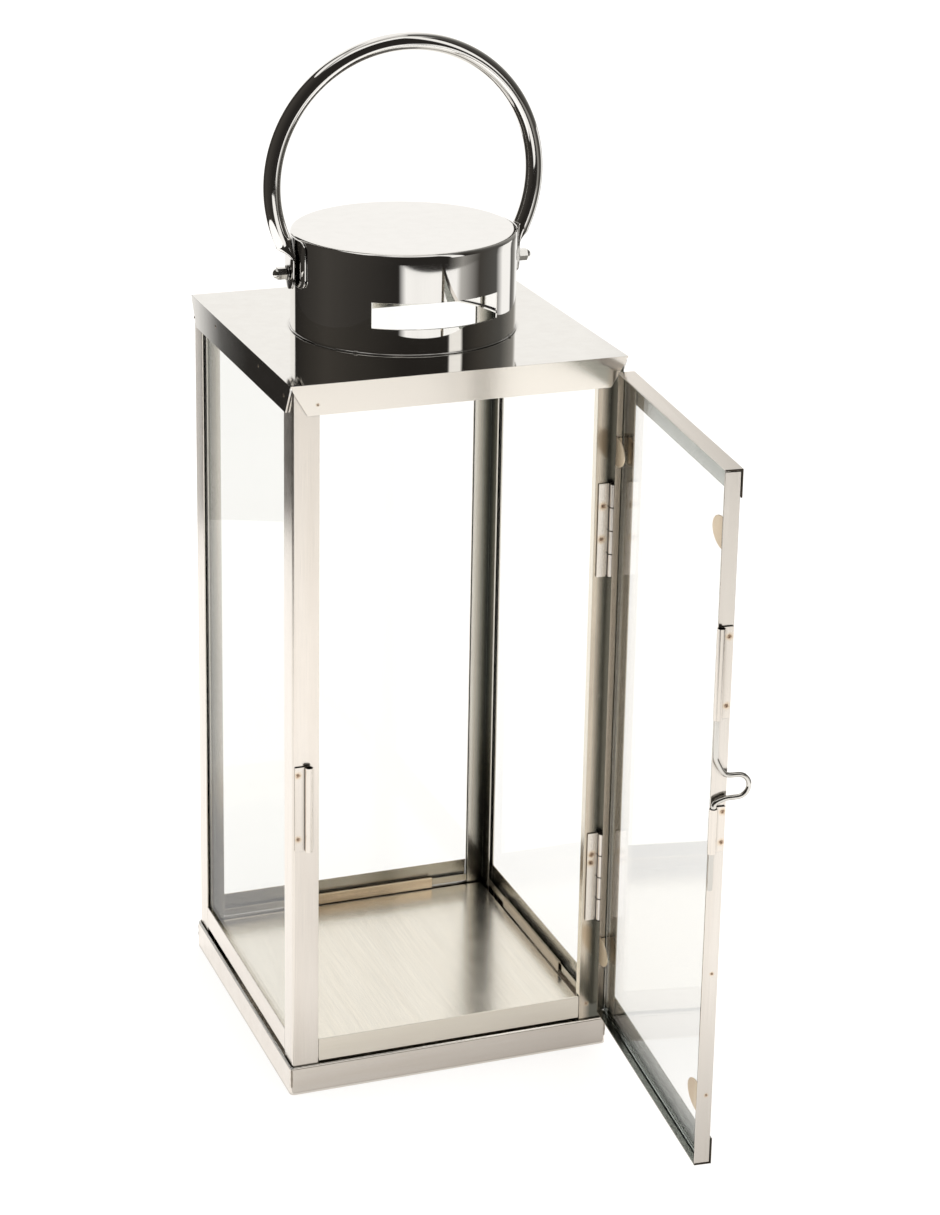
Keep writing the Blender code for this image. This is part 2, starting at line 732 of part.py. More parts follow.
def knuckle_span(middle, index):
    """The lowest and highest point of one knuckle, counted from the top."""
    top = middle + KNUCKLES * KNUCKLE_LENGTH / 2 - index * KNUCKLE_LENGTH
    return top - KNUCKLE_LENGTH + GAP / 2, top - GAP / 2


def hinge_leaf(name, low, high, knuckles, middle, parts, cutters, steel):
    """A hinge leaf about a hinge line at X 0, Y 0: a flat plate joined to its own bored knuckles."""
    plate = box(name, low, high, parts, steel)
    pieces = [plate]
    for index in range(KNUCKLES):
        start, end = knuckle_span(middle, index)
        label = name + "_knuckle_" + str(index)
        if index in knuckles:
            knuckle = rod(label, (0, 0, start), (0, 0, end), KNUCKLE_RADIUS, cutters, sides=20)
            join_with(plate, knuckle)
        else:
            radius = KNUCKLE_RADIUS + GAP
            knuckle = rod(label, (0, 0, start - GAP), (0, 0, end + GAP), radius, cutters, sides=20)
            cut_with(plate, knuckle)
        pieces.append(knuckle)
    reach = KNUCKLES * KNUCKLE_LENGTH
    start, end = (0, 0, middle - reach), (0, 0, middle + reach)
    bore = rod(name + "_bore", start, end, PIN_RADIUS + GAP, cutters, sides=12)
    cut_with(plate, bore)
    return [*pieces, bore]


def hinge(where, middle, axis, parts, cutters, steel):
    """One butt hinge: a leaf on the post's face, a leaf on the edge of the door, and a pin."""
    half = KNUCKLES * KNUCKLE_LENGTH / 2
    low, high = middle - half, middle + half
    r = KNUCKLE_RADIUS
    on_post = hinge_leaf(
        "hinge_leaf_post_" + where, (-POST_LEAF_WIDTH, r - LEAF, low), (0, r, high), (0, 2), middle,
        parts, cutters, steel,
    )
    for piece in on_post:
        piece.location = (HINGE_X, HINGE_Y, 0)
    on_door = hinge_leaf(
        "hinge_leaf_door_" + where, (-r, -DOOR_LEAF_WIDTH, low), (LEAF - r, 0, high), (1, 3), middle,
        parts, cutters, steel,
    )
    hang(on_door, axis)
    pin_low = (HINGE_X, HINGE_Y, low + GAP)
    pin_high = (HINGE_X, HINGE_Y, high - GAP)
    rod("hinge_pin_" + where, pin_low, pin_high, PIN_RADIUS, parts, steel, sides=12)


# Latch --------------------------------------------------------------------------------------------


def barrel(name, span, centre, leaf_low, leaf_high, parts, cutters, steel):
    """A rolled barrel and its leaf. The centre is the middle of the bore, the leaf a box beside it."""
    low, high = span
    x, y = centre
    plate = box(name, (*leaf_low, low), (*leaf_high, high), parts, steel)
    tube = rod(name + "_tube", (x, y, low), (x, y, high), BARREL_RADIUS, cutters, sides=20)
    bore = rod(name + "_bore", (x, y, low - CUT), (x, y, high + CUT), BARREL_BORE, cutters, sides=16)
    join_with(plate, tube)
    cut_with(plate, bore)
    return [plate, tube, bore]


def latch_barrels(axis, parts, cutters, steel):
    """Two barrels on the edge of the door, which the wire bolt slides through."""
    face = -DOOR_FREE_EDGE - GAP
    y = -LATCH_OUT
    leaf_low = (face - LEAF, y - BARREL_LEAF_WIDTH)
    for name, span in (("latch_barrel_upper", UPPER_BARREL), ("latch_barrel_lower", LOWER_BARREL)):
        hang(barrel(name, span, (LATCH_LINE, y), leaf_low, (face, y), parts, cutters, steel), axis)


def latch_catch(parts, cutters, steel):
    """The barrel on the left post that the bolt drops into when the door is shut."""
    x = HINGE_X + LATCH_LINE
    face = -BODY_HALF - GAP
    centre = (x, face - BARREL_RADIUS)
    leaf_low = (CATCH_LEAF_EDGE, face - LEAF)
    barrel("latch_catch", CATCH_BARREL, centre, leaf_low, (x, face), parts, cutters, steel)


def wire_route():
    """The bolt's wire in its own plane: (distance outwards, height), from the top to the bottom."""
    top_run = [(0, WIRE_TOP), (0, LOOP_TOP + LOOP_RISE), (LOOP_BEND, LOOP_TOP + LOOP_RISE - 4 * LOOP_BEND)]
    top_run += [(LOOP_START - WIRE_RADIUS, LOOP_TOP + WIRE_RADIUS), (LOOP_START + WIRE_RADIUS, LOOP_TOP)]
    radius = (LOOP_TOP - LOOP_BOTTOM) / 2
    middle = (LOOP_REACH - radius, (LOOP_TOP + LOOP_BOTTOM) / 2)
    turn = []
    for i in range(LOOP_STEPS + 1):
        angle = math.pi / 2 - math.pi * i / LOOP_STEPS
        turn.append((middle[0] + radius * math.cos(angle), middle[1] + radius * math.sin(angle)))
    low_run = [(LOOP_START + WIRE_RADIUS, LOOP_BOTTOM), (LOOP_START - WIRE_RADIUS, LOOP_BOTTOM - LOOP_BEND)]
    low_run += [(LOOP_BEND, LOOP_BOTTOM - LOOP_DROP / 2), (0, LOOP_BOTTOM - LOOP_DROP), (0, WIRE_BOTTOM)]
    return top_run + turn + low_run


def latch_wire(axis, parts, steel):
    """The bolt: one bent wire with a finger loop that stands out in front of the door."""
    curve = bpy.data.curves.new("latch_wire", "CURVE")
    curve.dimensions = "3D"
    curve.bevel_depth = WIRE_RADIUS
    curve.bevel_resolution = 2
    curve.use_fill_caps = True
    route = wire_route()
    line = curve.splines.new("POLY")
    line.points.add(len(route) - 1)
    for point, (out, height) in zip(line.points, route):
        point.co = (LATCH_LINE, -LATCH_OUT - out, height, 1)
    hang([add_object("latch_wire", curve, parts, steel)], axis)


def build():
    clear_scene()
    parts = new_collection("candle_lantern")
    cutters = new_collection("cutters")
    steel = polished_steel()
    mirror = mirror_steel()
    brushed = brushed_steel()
    glass = clear_glass()

    base_tray(parts, cutters, steel)
    floor_plate(parts, cutters, brushed)
    corner_posts(parts, steel)
    bottom_rails(parts, steel)
    front_threshold(parts, steel)
    side_glass(parts, glass)
    glass_strips(parts, brushed)
    roof_plate(parts, cutters, mirror)
    chimney_drum(parts, cutters, mirror)
    for side, sign in (("left", -1), ("right", 1)):
        handle_bracket(side, sign, parts, cutters, steel)
        pivot_bolt(side, sign, parts, cutters, steel)
        pivot_washer(side, sign, parts, cutters, steel)
        acorn_nut(side, sign, parts, cutters, steel)
    handle_ring(parts, cutters, mirror)

    axis = joint_axis("door_axis", (HINGE_X, HINGE_Y, 0), (0, 0, DOOR_OPEN), parts)
    door_stiles(axis, parts, steel)
    door_rails(axis, parts, steel)
    door_glass(axis, parts, glass)
    door_glass_tabs(axis, parts, cutters, steel)
    for where, middle in HINGE_HEIGHTS.items():
        hinge(where, middle, axis, parts, cutters, steel)
    latch_barrels(axis, parts, cutters, steel)
    latch_catch(parts, cutters, steel)
    latch_wire(axis, parts, mirror)


build()
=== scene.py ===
"""The look of a square candle lantern: brushed and polished sheet steel, glass panes and a chrome ring.

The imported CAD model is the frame. Sheet parts keep their CAD nodes, with softened edges and steel
materials. The round polished parts are built again here, finer than the CAD, and small marks of making
are added: spot welds with heat tint, welded corners and folded seams. All lengths are in metres, in the
frame of the CAD.
"""

import json
import math

import bmesh
import bpy
from mathutils import Matrix, Vector


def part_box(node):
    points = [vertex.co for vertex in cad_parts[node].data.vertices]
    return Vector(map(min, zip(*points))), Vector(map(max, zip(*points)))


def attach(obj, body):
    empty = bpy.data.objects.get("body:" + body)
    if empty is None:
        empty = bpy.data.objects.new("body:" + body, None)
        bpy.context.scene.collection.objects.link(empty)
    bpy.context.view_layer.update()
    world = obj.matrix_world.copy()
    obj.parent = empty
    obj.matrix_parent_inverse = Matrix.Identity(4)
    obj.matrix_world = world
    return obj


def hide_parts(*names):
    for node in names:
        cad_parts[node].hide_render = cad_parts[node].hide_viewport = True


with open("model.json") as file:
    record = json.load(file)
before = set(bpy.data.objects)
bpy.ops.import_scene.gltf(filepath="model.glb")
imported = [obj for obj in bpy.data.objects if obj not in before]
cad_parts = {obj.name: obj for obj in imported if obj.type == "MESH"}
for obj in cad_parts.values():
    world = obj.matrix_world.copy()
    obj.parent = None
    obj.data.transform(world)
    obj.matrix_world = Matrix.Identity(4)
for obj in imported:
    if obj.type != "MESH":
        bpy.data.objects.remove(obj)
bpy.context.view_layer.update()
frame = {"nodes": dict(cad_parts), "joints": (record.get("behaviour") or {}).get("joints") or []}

NODES = frame["nodes"]
JOINTS = {joint["name"]: joint for joint in frame["joints"]}


# Measures worked out from the frame ---------------------------------------------------------------


def joint_point(name):
    return Vector(JOINTS[name]["pos_m"])


BODY_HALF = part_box("post_front_right")[1].x
ROOF_LOW, ROOF_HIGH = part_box("roof_plate")
DRUM_LOW, DRUM_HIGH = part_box("chimney_drum")
TRAY_LOW, TRAY_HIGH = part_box("base_tray")
PIVOT = joint_point("handle_swing")
HINGE = joint_point("door_hinge")
DOOR_OPEN = -math.radians(JOINTS["door_hinge"]["range_deg"][0])
# Turns the shut door, with the hinge line at the origin, to where it stands at rest
DOOR = Matrix.Translation((HINGE.x, HINGE.y, 0)) @ Matrix.Rotation(DOOR_OPEN, 4, "Z")

DOOR_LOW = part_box("door_rail_bottom")[0].z
DOOR_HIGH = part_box("door_rail_top")[1].z
# From the hinge line to the door's near and far edges, and from its inside to its outer walls
DOOR_ROOT = 0.0020
DOOR_EDGE = 0.1525
STILE_OUTER = 0.0069
RAIL_OUTER = 0.0082


def on_shut_door(along, out, height):
    """A point of the door as it is when shut: along it from the hinge line, out from its inside, and up."""
    return Vector((HINGE.x - along, HINGE.y - out, height))


def on_door(along, out, height):
    """The same point of the door as it stands at rest, open."""
    return DOOR @ Vector((-along, -out, height))


DOOR_TIP = on_door(DOOR_EDGE, 0.0, 0.0)


# Shader nodes -------------------------------------------------------------------------------------


def add_node(tree, kind, inputs=None, **settings):
    """A new node. Its inputs are values, or sockets to link from."""
    made = tree.nodes.new(kind)
    for key, value in settings.items():
        setattr(made, key, value)
    for key, value in (inputs or {}).items():
        if isinstance(value, bpy.types.NodeSocket):
            tree.links.new(value, made.inputs[key])
        else:
            made.inputs[key].default_value = value
    return made


def new_material(name):
    material = bpy.data.materials.new(name)
    material.use_nodes = True
    tree = material.node_tree
    shader = tree.nodes["Principled BSDF"]
    coords = tree.nodes.new("ShaderNodeTexCoord").outputs["Object"]
    return material, tree, shader, coords


def noise(tree, coords, scale, detail=2.0, rough=0.5):
    """Noise from 0 to 1. The scale is one number, or one for each axis, in cycles per metre."""
    if isinstance(scale, (int, float)):
        scale = (scale, scale, scale)
    stretched = add_node(tree, "ShaderNodeMapping", {"Vector": coords, "Scale": scale})
    inputs = {"Vector": stretched.outputs[0], "Scale": 1.0, "Detail": detail, "Roughness": rough}
    return add_node(tree, "ShaderNodeTexNoise", inputs).outputs["Fac"]


def map_range(tree, value, from_low, from_high, to_low, to_high):
    """A value carried from one range to another, and kept inside it."""
    inputs = {"Value": value, "From Min": from_low, "From Max": from_high}
    inputs.update({"To Min": to_low, "To Max": to_high})
    return add_node(tree, "ShaderNodeMapRange", inputs).outputs["Result"]


def maths(tree, operation, first, second=0.0):
    made = add_node(tree, "ShaderNodeMath", {0: first, 1: second}, operation=operation)
    return made.outputs[0]


def split_xyz(tree, coords):
    """The X, Y and Z of a point."""
    split = add_node(tree, "ShaderNodeSeparateXYZ", {0: coords})
    return [split.outputs[letter] for letter in "XYZ"]


def mix_color(tree, factor, first, second, blend="MIX"):
    """Two colours mixed. The factor and either colour may be a socket."""
    made = add_node(tree, "ShaderNodeMix", data_type="RGBA", blend_type=blend)
    for socket, value in ((made.inputs[0], factor), (made.inputs[6], first), (made.inputs[7], second)):
        if isinstance(value, bpy.types.NodeSocket):
            tree.links.new(value, socket)
        elif isinstance(value, (int, float)):
            socket.default_value = value
        else:
            socket.default_value = (*value, 1.0)
    return made.outputs[2]


def ramp_node(tree, value, stops):
    """A colour ramp through (position, colour) stops."""
    made = add_node(tree, "ShaderNodeValToRGB", {"Fac": value})
    elements = made.color_ramp.elements
    while len(elements) < len(stops):
        elements.new(0.5)
    for element, (position, color) in zip(elements, stops):
        element.position = position
        element.color = (*color, 1.0) if len(color) == 3 else color
    return made


def ramp(tree, value, stops):
    """The colour that a value has along (position, colour) stops."""
    return ramp_node(tree, value, stops).outputs["Color"]


def nearest(tree, coords, points):
    """Distance to the nearest of some points."""
    distance = None
    for point in points:
        inputs = {0: coords, 1: tuple(point)}
        one = add_node(tree, "ShaderNodeVectorMath", inputs, operation="DISTANCE").outputs["Value"]
        distance = one if distance is None else maths(tree, "MINIMUM", distance, one)
    return distance


# Materials ----------------------------------------------------------------------------------------

# Heat tint round a spot weld, from its middle outwards: grey, brown, straw, then the bare steel.
HEAT_RINGS = [
    (0.00, (0.30, 0.25, 0.22, 0.9)),
    (0.28, (0.16, 0.09, 0.05, 0.95)),
    (0.42, (0.36, 0.22, 0.12, 0.8)),
    (0.62, (0.72, 0.55, 0.36, 0.5)),
    (1.00, (0.80, 0.70, 0.58, 0.0)),
]
# Painted shade across the inner angle of a post, from its dark corner to its lighter edge
POST_ANGLE_SHADE = [
    (0.0, (0.11, 0.115, 0.10)),
    (0.45, (0.20, 0.195, 0.165)),
    (0.8, (0.45, 0.42, 0.36)),
    (1.0, (0.62, 0.59, 0.53)),
]
# How much rougher the roof's brushed flanges are than its polished rest
SATIN_ROUGHNESS = 0.13
AXES = {"x": (1.0, 0.0, 0.0), "y": (0.0, 1.0, 0.0), "z": (0.0, 0.0, 1.0)}


def brushed_scale(axis, across, along):
    """Noise scales that draw lines along one axis."""
    return tuple(along if letter == axis else across for letter in "xyz")


def heat_marks(tree, coords, color, spots, reach):
    """Lays the tint of spot welds over a colour."""
    distance = nearest(tree, coords, spots)
    wander = maths(tree, "MULTIPLY", noise(tree, coords, 900.0), 0.5 * reach)
    share = maths(tree, "DIVIDE", maths(tree, "ADD", distance, wander), 1.25 * reach)
    tint = ramp_node(tree, share, HEAT_RINGS)
    return mix_color(tree, tint.outputs["Alpha"], color, tint.outputs["Color"])


# The painted shade on a part's inner faces begins a little below its outer faces, and is full at the second
# depth.
INSIDE_FROM = 0.0003
INSIDE_FULL = 0.0005
# How far in from the body's faces the inner angle of a post has its corner and its edges
ANGLE_CORNER = 0.0045
ANGLE_EDGE = 0.0128


def body_inside(tree, coords):
    """1 on the faces of a post or rail that are turned inwards, 0 on its outer faces."""
    x, y, z = split_xyz(tree, coords)
    outermost = maths(tree, "MAXIMUM", maths(tree, "ABSOLUTE", x), maths(tree, "ABSOLUTE", y))
    return map_range(tree, outermost, BODY_HALF - INSIDE_FROM, BODY_HALF - INSIDE_FULL, 0.0, 1.0)


def post_depth(tree, coords):
    """0 in the corner of a post, 1 at the edges of its inner angle."""
    x, y, z = split_xyz(tree, coords)
    innermost = maths(tree, "MINIMUM", maths(tree, "ABSOLUTE", x), maths(tree, "ABSOLUTE", y))
    return map_range(tree, innermost, BODY_HALF - ANGLE_CORNER, BODY_HALF - ANGLE_EDGE, 0.0, 1.0)


def roof_flange(tree, coords):
    """1 on the front and back flanges of the roof, which are brushed, and 0 on its polished rest."""
    x, y, z = split_xyz(tree, coords)
    deep = maths(tree, "ABSOLUTE", y)
    return map_range(tree, deep, ROOF_HIGH.y - 0.0003, ROOF_HIGH.y - 0.0001, 0.0, 1.0)


def door_inside(tree, coords, outer=STILE_OUTER):
    """1 on the faces of the door frame that are turned inwards, 0 on its outer faces and edges."""
    x, y, z = split_xyz(tree, coords)
    margins = [
        maths(tree, "SUBTRACT", x, HINGE.x - DOOR_EDGE),
        maths(tree, "SUBTRACT", HINGE.x - DOOR_ROOT, x),
        maths(tree, "SUBTRACT", z, DOOR_LOW),
        maths(tree, "SUBTRACT", DOOR_HIGH, z),
        maths(tree, "SUBTRACT", y, HINGE.y - outer),
    ]
    least = margins[0]
    for margin in margins[1:]:
        least = maths(tree, "MINIMUM", least, margin)
    return map_range(tree, least, INSIDE_FROM, INSIDE_FULL, 0.0, 1.0)


def rail_inside(tree, coords):
    """The same on the rails, whose outer walls lap over the stiles."""
    return door_inside(tree, coords, RAIL_OUTER)


def streaked(tree, coords, tone, shade, axis):
    """Two tones of steel, mixed in streaks along the brush lines and in slow clouds."""
    streaks = noise(tree, coords, brushed_scale(axis, 130.0, 7.0), 3.0, 0.55)
    clouds = noise(tree, coords, 14.0, 2.0, 0.5)
    blend = maths(tree, "ADD", maths(tree, "MULTIPLY", streaks, 0.7), maths(tree, "MULTIPLY", clouds, 0.3))
    return mix_color(tree, map_range(tree, blend, 0.35, 0.60, 0.0, 1.0), shade, tone)


def dimmed(tree, coords, color, start, end, tone):
    """A colour that turns to another tone between two places along X."""
    x, y, z = split_xyz(tree, coords)
    return mix_color(tree, map_range(tree, x, start, end, 0.0, 1.0), color, tone)


def gap_shade_and_lines(tree, color, lines, grain, crevice_shade):
    """A colour with painted shade in the narrow gaps and the fine brush lines in it."""
    # Painted shade: ambient occlusion darkens the colour in narrow gaps and where parts meet.
    gap_shade = add_node(tree, "ShaderNodeAmbientOcclusion", {"Distance": 0.003}, samples=16).outputs["AO"]
    gap_shade = map_range(tree, gap_shade, 0.25, 0.85, 1.0 - crevice_shade, 1.0)
    color = mix_color(tree, 1.0, color, gap_shade, "MULTIPLY")
    fine = map_range(tree, lines, 0.3, 0.7, 1.0 - 0.10 * grain, 1.0 + 0.04 * grain)
    return mix_color(tree, 1.0, color, fine, "MULTIPLY")


def steel_roughness(tree, coords, lines, roughness, grain):
    """Roughness that smudges and brush lines change a little."""
    smudges = noise(tree, coords, 95.0, 5.0, 0.7)
    rough = map_range(tree, smudges, 0.35, 0.7, 0.92 * roughness, 1.12 * roughness)
    return maths(tree, "ADD", rough, map_range(tree, lines, 0.3, 0.7, 0.0, 0.1 * grain * roughness))


def steel_normal(tree, coords, lines, grain, ripple):
    """The surface of the brush lines and, where there is a ripple, of slow waves in the sheet."""
    inputs = {"Strength": 0.12 * grain, "Distance": 0.00002, "Height": lines}
    normal = add_node(tree, "ShaderNodeBump", inputs).outputs["Normal"]
    if ripple:
        waves = noise(tree, coords, 16.0, 1.0, 0.4)
        inputs = {"Strength": 1.0, "Distance": ripple, "Height": waves, "Normal": normal}
        normal = add_node(tree, "ShaderNodeBump", inputs).outputs["Normal"]
    return normal


def steel(
    name, tone, shade, roughness, axis="z", grain=0.5, ripple=0.0, spots=(), reach=0.0022, aniso=0.0,
    inside=None, inside_tone=None, door=False, crevice_shade=0.55, dimming=None,
):
    """Stainless steel in two tones, the second in its streaks, with brush lines along an axis.

    ripple is the height of slow waves in the sheet. spots and reach lay heat tint round spot welds.
    inside is a mask of the faces that take inside_tone, a tone or the stops across a post's inner angle. On
    the frame and the door this is painted shade on inner faces; on the roof it is the brushed flanges' own
    tone.
    door reads the place of a point on the shut door. The crevice shade sets how dark the painted shade in
    narrow gaps is. dimming is (start, end, tone) along X, over which a colour is painted darker.
    """
    material, tree, shader, coords = new_material(name)
    if door:
        inputs = {"Vector": coords, "Center": (HINGE.x, HINGE.y, 0), "Angle": -DOOR_OPEN}
        coords = add_node(tree, "ShaderNodeVectorRotate", inputs, rotation_type="Z_AXIS").outputs[0]
    lines = noise(tree, coords, brushed_scale(axis, 2600.0, 26.0), 3.0, 0.6)
    color = streaked(tree, coords, tone, shade, axis)
    if dimming:
        color = dimmed(tree, coords, color, *dimming)
    rough = steel_roughness(tree, coords, lines, roughness, grain)
    # Inner faces take painted shade here; the roof's flanges take their own brushed tone.
    if inside:
        mask = inside(tree, coords)
        if isinstance(inside_tone, list):
            inside_tone = ramp(tree, post_depth(tree, coords), inside_tone)
        color = mix_color(tree, mask, color, inside_tone)
        if inside == roof_flange:
            rough = maths(tree, "ADD", rough, maths(tree, "MULTIPLY", mask, SATIN_ROUGHNESS))
    color = gap_shade_and_lines(tree, color, lines, grain, crevice_shade)
    if spots:
        color = heat_marks(tree, coords, color, spots, reach)
    tree.links.new(color, shader.inputs["Base Color"])
    tree.links.new(rough, shader.inputs["Roughness"])
    tree.links.new(steel_normal(tree, coords, lines, grain, ripple), shader.inputs["Normal"])
    shader.inputs["Metallic"].default_value = 1.0
    if aniso:
        shader.inputs["Anisotropic"].default_value = aniso
        tangent = add_node(tree, "ShaderNodeCombineXYZ", dict(zip("XYZ", AXES[axis])))
        tree.links.new(tangent.outputs[0], shader.inputs["Tangent"])
    return material


# How deep the tone of a pane's cut edges goes in
GLASS_RIM = 0.001


def glass(name, node, tint, edge, thin_axis, ior=1.5):
    """Clear sheet glass. Its cut edges are darker and greener than its face."""
    material, tree, shader, coords = new_material(name)
    low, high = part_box(node)
    centre = (low + high) / 2
    inputs = {0: coords, 1: tuple(centre)}
    offset = add_node(tree, "ShaderNodeVectorMath", inputs, operation="SUBTRACT").outputs[0]
    rim = None
    for letter, place, width in zip("XYZ", split_xyz(tree, offset), high - low):
        if letter == thin_axis:
            continue
        beyond = maths(tree, "SUBTRACT", maths(tree, "ABSOLUTE", place), width / 2 - GLASS_RIM)
        rim = beyond if rim is None else maths(tree, "MAXIMUM", rim, beyond)
    rim = map_range(tree, rim, -0.0002, 0.0004, 0.0, 1.0)
    veil = map_range(tree, noise(tree, coords, 9.0, 4.0, 0.6), 0.4, 0.75, 0.0, 0.35)
    face = mix_color(tree, veil, tint, tuple(0.985 * c for c in tint))
    tree.links.new(mix_color(tree, rim, face, edge), shader.inputs["Base Color"])
    smears = noise(tree, coords, (60.0, 60.0, 14.0), 4.0, 0.65)
    tree.links.new(map_range(tree, smears, 0.5, 0.8, 0.0, 0.03), shader.inputs["Roughness"])
    shader.inputs["Transmission Weight"].default_value = 1.0
    shader.inputs["IOR"].default_value = ior
    return material


# The front of the posts, and of the hinge leaves and the catch, which lie on them
LEAF_SHEET = 0.001
FRONT_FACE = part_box("post_front_left")[0].y
LEAF_FACE = FRONT_FACE - LEAF_SHEET
# Where the spot welds are, by part
HINGE_SPOTS = [(0.0742, LEAF_FACE, 0.2938), (0.0738, LEAF_FACE, 0.2768)]
HINGE_SPOTS += [(0.0740, LEAF_FACE, 0.1079), (0.0737, LEAF_FACE, 0.1035)]
POST_SPOTS = [(0.0742, FRONT_FACE, 0.0236)]
CATCH_SPOTS = [(-0.0810, LEAF_FACE, 0.1730), (-0.0810, LEAF_FACE, 0.1392)]
BARREL_SPOTS = [on_door(DOOR_EDGE + 0.001, 0.0046, z) for z in (0.2851, 0.2522)]
BARREL_SPOTS += [on_door(DOOR_EDGE + 0.001, 0.0052, z) for z in (0.2008, 0.1858)]
STILE_SPOTS = [on_shut_door(DOOR_EDGE, 0.0040, z) for z in (0.1194, 0.0568)]
ROOF_SPOTS = [(-0.0714, ROOF_LOW.y, 0.3591)]
ROOF_SPOTS += [(ROOF_LOW.x, -0.0739, 0.3618), (ROOF_LOW.x, -0.0333, 0.3646)]
ROOF_SPOTS += [(ROOF_LOW.x, 0.0405, 0.3641), (ROOF_LOW.x, 0.0794, 0.3584)]

# Tones of steel. A shade is the darker tone that goes with one in its streaks. The dark and dull tones of
# inner faces are painted shade, and one more dark tone is painted on the free ends of the door rails.
FLANGE = (0.93, 0.88, 0.81)
DOOR_LIGHT = (0.79, 0.745, 0.69)
DOOR_SHADE = (0.75, 0.70, 0.64)
DOOR_INSIDE_SHADE = (0.36, 0.315, 0.255)
LIGHT = (0.845, 0.79, 0.725)
LIGHT_SHADE = (0.805, 0.745, 0.675)
SATIN = (0.85, 0.795, 0.70)
SATIN_SHADE = (0.835, 0.775, 0.675)
DOOR_RAIL_INSIDE_SHADE = (0.30, 0.31, 0.28)
RAIL_END_DARK = (0.08, 0.066, 0.052)
RAIL_INSIDE_SHADE = (0.50, 0.455, 0.375)
MIRROR = (0.86, 0.845, 0.81)
MIRROR_SHADE = (0.83, 0.81, 0.775)
CHROME = (0.91, 0.895, 0.87)
CHROME_SHADE = (0.88, 0.865, 0.84)
# The post by the hinge is painted darker as the door's shade, and darkest towards the hinge as a painted
# reflection of the open door's dark inside.
SHADED_POST = (0.70, 0.62, 0.51)
SHADED_POST_STREAKS = (0.56, 0.49, 0.40)
DOOR_REFLECTION_DARK = (0.17, 0.17, 0.145)
TAN = (0.80, 0.66, 0.49)
TAN_SHADE = (0.52, 0.40, 0.27)

tray_steel = steel("tray_steel", LIGHT, LIGHT_SHADE, 0.22, "x", 0.3, 0.0001)
floor_steel = steel("brushed_floor", SATIN, SATIN_SHADE, 0.22, "y", 0.7, aniso=0.4)
post_steel = steel(
    "post_steel", LIGHT, LIGHT_SHADE, 0.20, "z", 0.5, 0.0001, POST_SPOTS, 0.0018,
    inside=body_inside, inside_tone=POST_ANGLE_SHADE,
)
# Painted shade of the open door, and towards the hinge a painted reflection of its dark inside.
shaded_post_steel = steel(
    "shaded_post_steel", SHADED_POST, SHADED_POST_STREAKS, 0.24, "z", 0.6, 0.0, POST_SPOTS, 0.0018,
    inside=body_inside, inside_tone=POST_ANGLE_SHADE, dimming=(0.0722, 0.0762, DOOR_REFLECTION_DARK),
)
rail_steel = steel(
    "rail_steel", LIGHT, LIGHT_SHADE, 0.20, "y", 0.5, inside=body_inside, inside_tone=RAIL_INSIDE_SHADE
)
strip_steel = steel("strip_steel", TAN, TAN_SHADE, 0.22, "x", 0.8)
# The side strips take a darker copy of the strips' tan: a painted reflection of the dark around them.
side_strips_in_shade = steel("side_strips_in_shade", (0.46, 0.39, 0.30), (0.30, 0.27, 0.22), 0.22, "y", 0.8)
band_steel = steel("band_steel", SATIN, SATIN_SHADE, 0.20, "x", 0.5)
roof_steel = steel(
    "roof_steel", MIRROR, MIRROR_SHADE, 0.05, "z", 0.05, 0.0, ROOF_SPOTS, 0.0014,
    inside=roof_flange, inside_tone=FLANGE,
)
drum_steel = steel("drum_steel", CHROME, CHROME_SHADE, 0.03, "z", 0.1, 0.0007)
bracket_steel = steel("bracket_steel", CHROME, CHROME_SHADE, 0.06, "z", 0.2)
ring_chrome = steel("ring_chrome", CHROME, CHROME_SHADE, 0.04, "y", 0.1)
fastener_steel = steel("fastener_steel", MIRROR, MIRROR_SHADE, 0.12, "x", 0.3)
hinge_steel = steel(
    "hinge_steel", LIGHT, LIGHT_SHADE, 0.22, "z", 0.5, 0.0, HINGE_SPOTS, 0.0034,
    crevice_shade=0.85,
)
catch_steel = steel(
    "catch_steel", LIGHT, LIGHT_SHADE, 0.20, "z", 0.5, 0.0, CATCH_SPOTS + BARREL_SPOTS, 0.0026,
    crevice_shade=0.85,
)
door_steel = steel(
    "door_steel", DOOR_LIGHT, DOOR_SHADE, 0.18, "z", 0.4, 0.0, STILE_SPOTS, 0.0016,
    inside=door_inside, inside_tone=DOOR_INSIDE_SHADE, door=True,
)
door_rail_steel = steel(
    "door_rail_steel", LIGHT, LIGHT_SHADE, 0.18, "x", 0.4,
    inside=rail_inside, inside_tone=DOOR_RAIL_INSIDE_SHADE, door=True, crevice_shade=0.2,
    # The free ends of the rails are painted dark.
    dimming=(HINGE.x - DOOR_EDGE + 0.0004, HINGE.x - DOOR_EDGE + 0.0002, RAIL_END_DARK),
)
joint_dark = steel("joint_dark", (0.10, 0.085, 0.07), (0.05, 0.042, 0.035), 0.45, "z", 0.5)
seam_steel = steel("seam_steel", (0.50, 0.45, 0.39), (0.28, 0.23, 0.18), 0.30, "z", 0.5)
tab_steel = steel("tab_steel", (0.86, 0.74, 0.58), TAN, 0.42, "z", 0.5)
wire_chrome = steel("wire_chrome", (0.74, 0.72, 0.68), (0.60, 0.58, 0.54), 0.14, "z", 0.3)

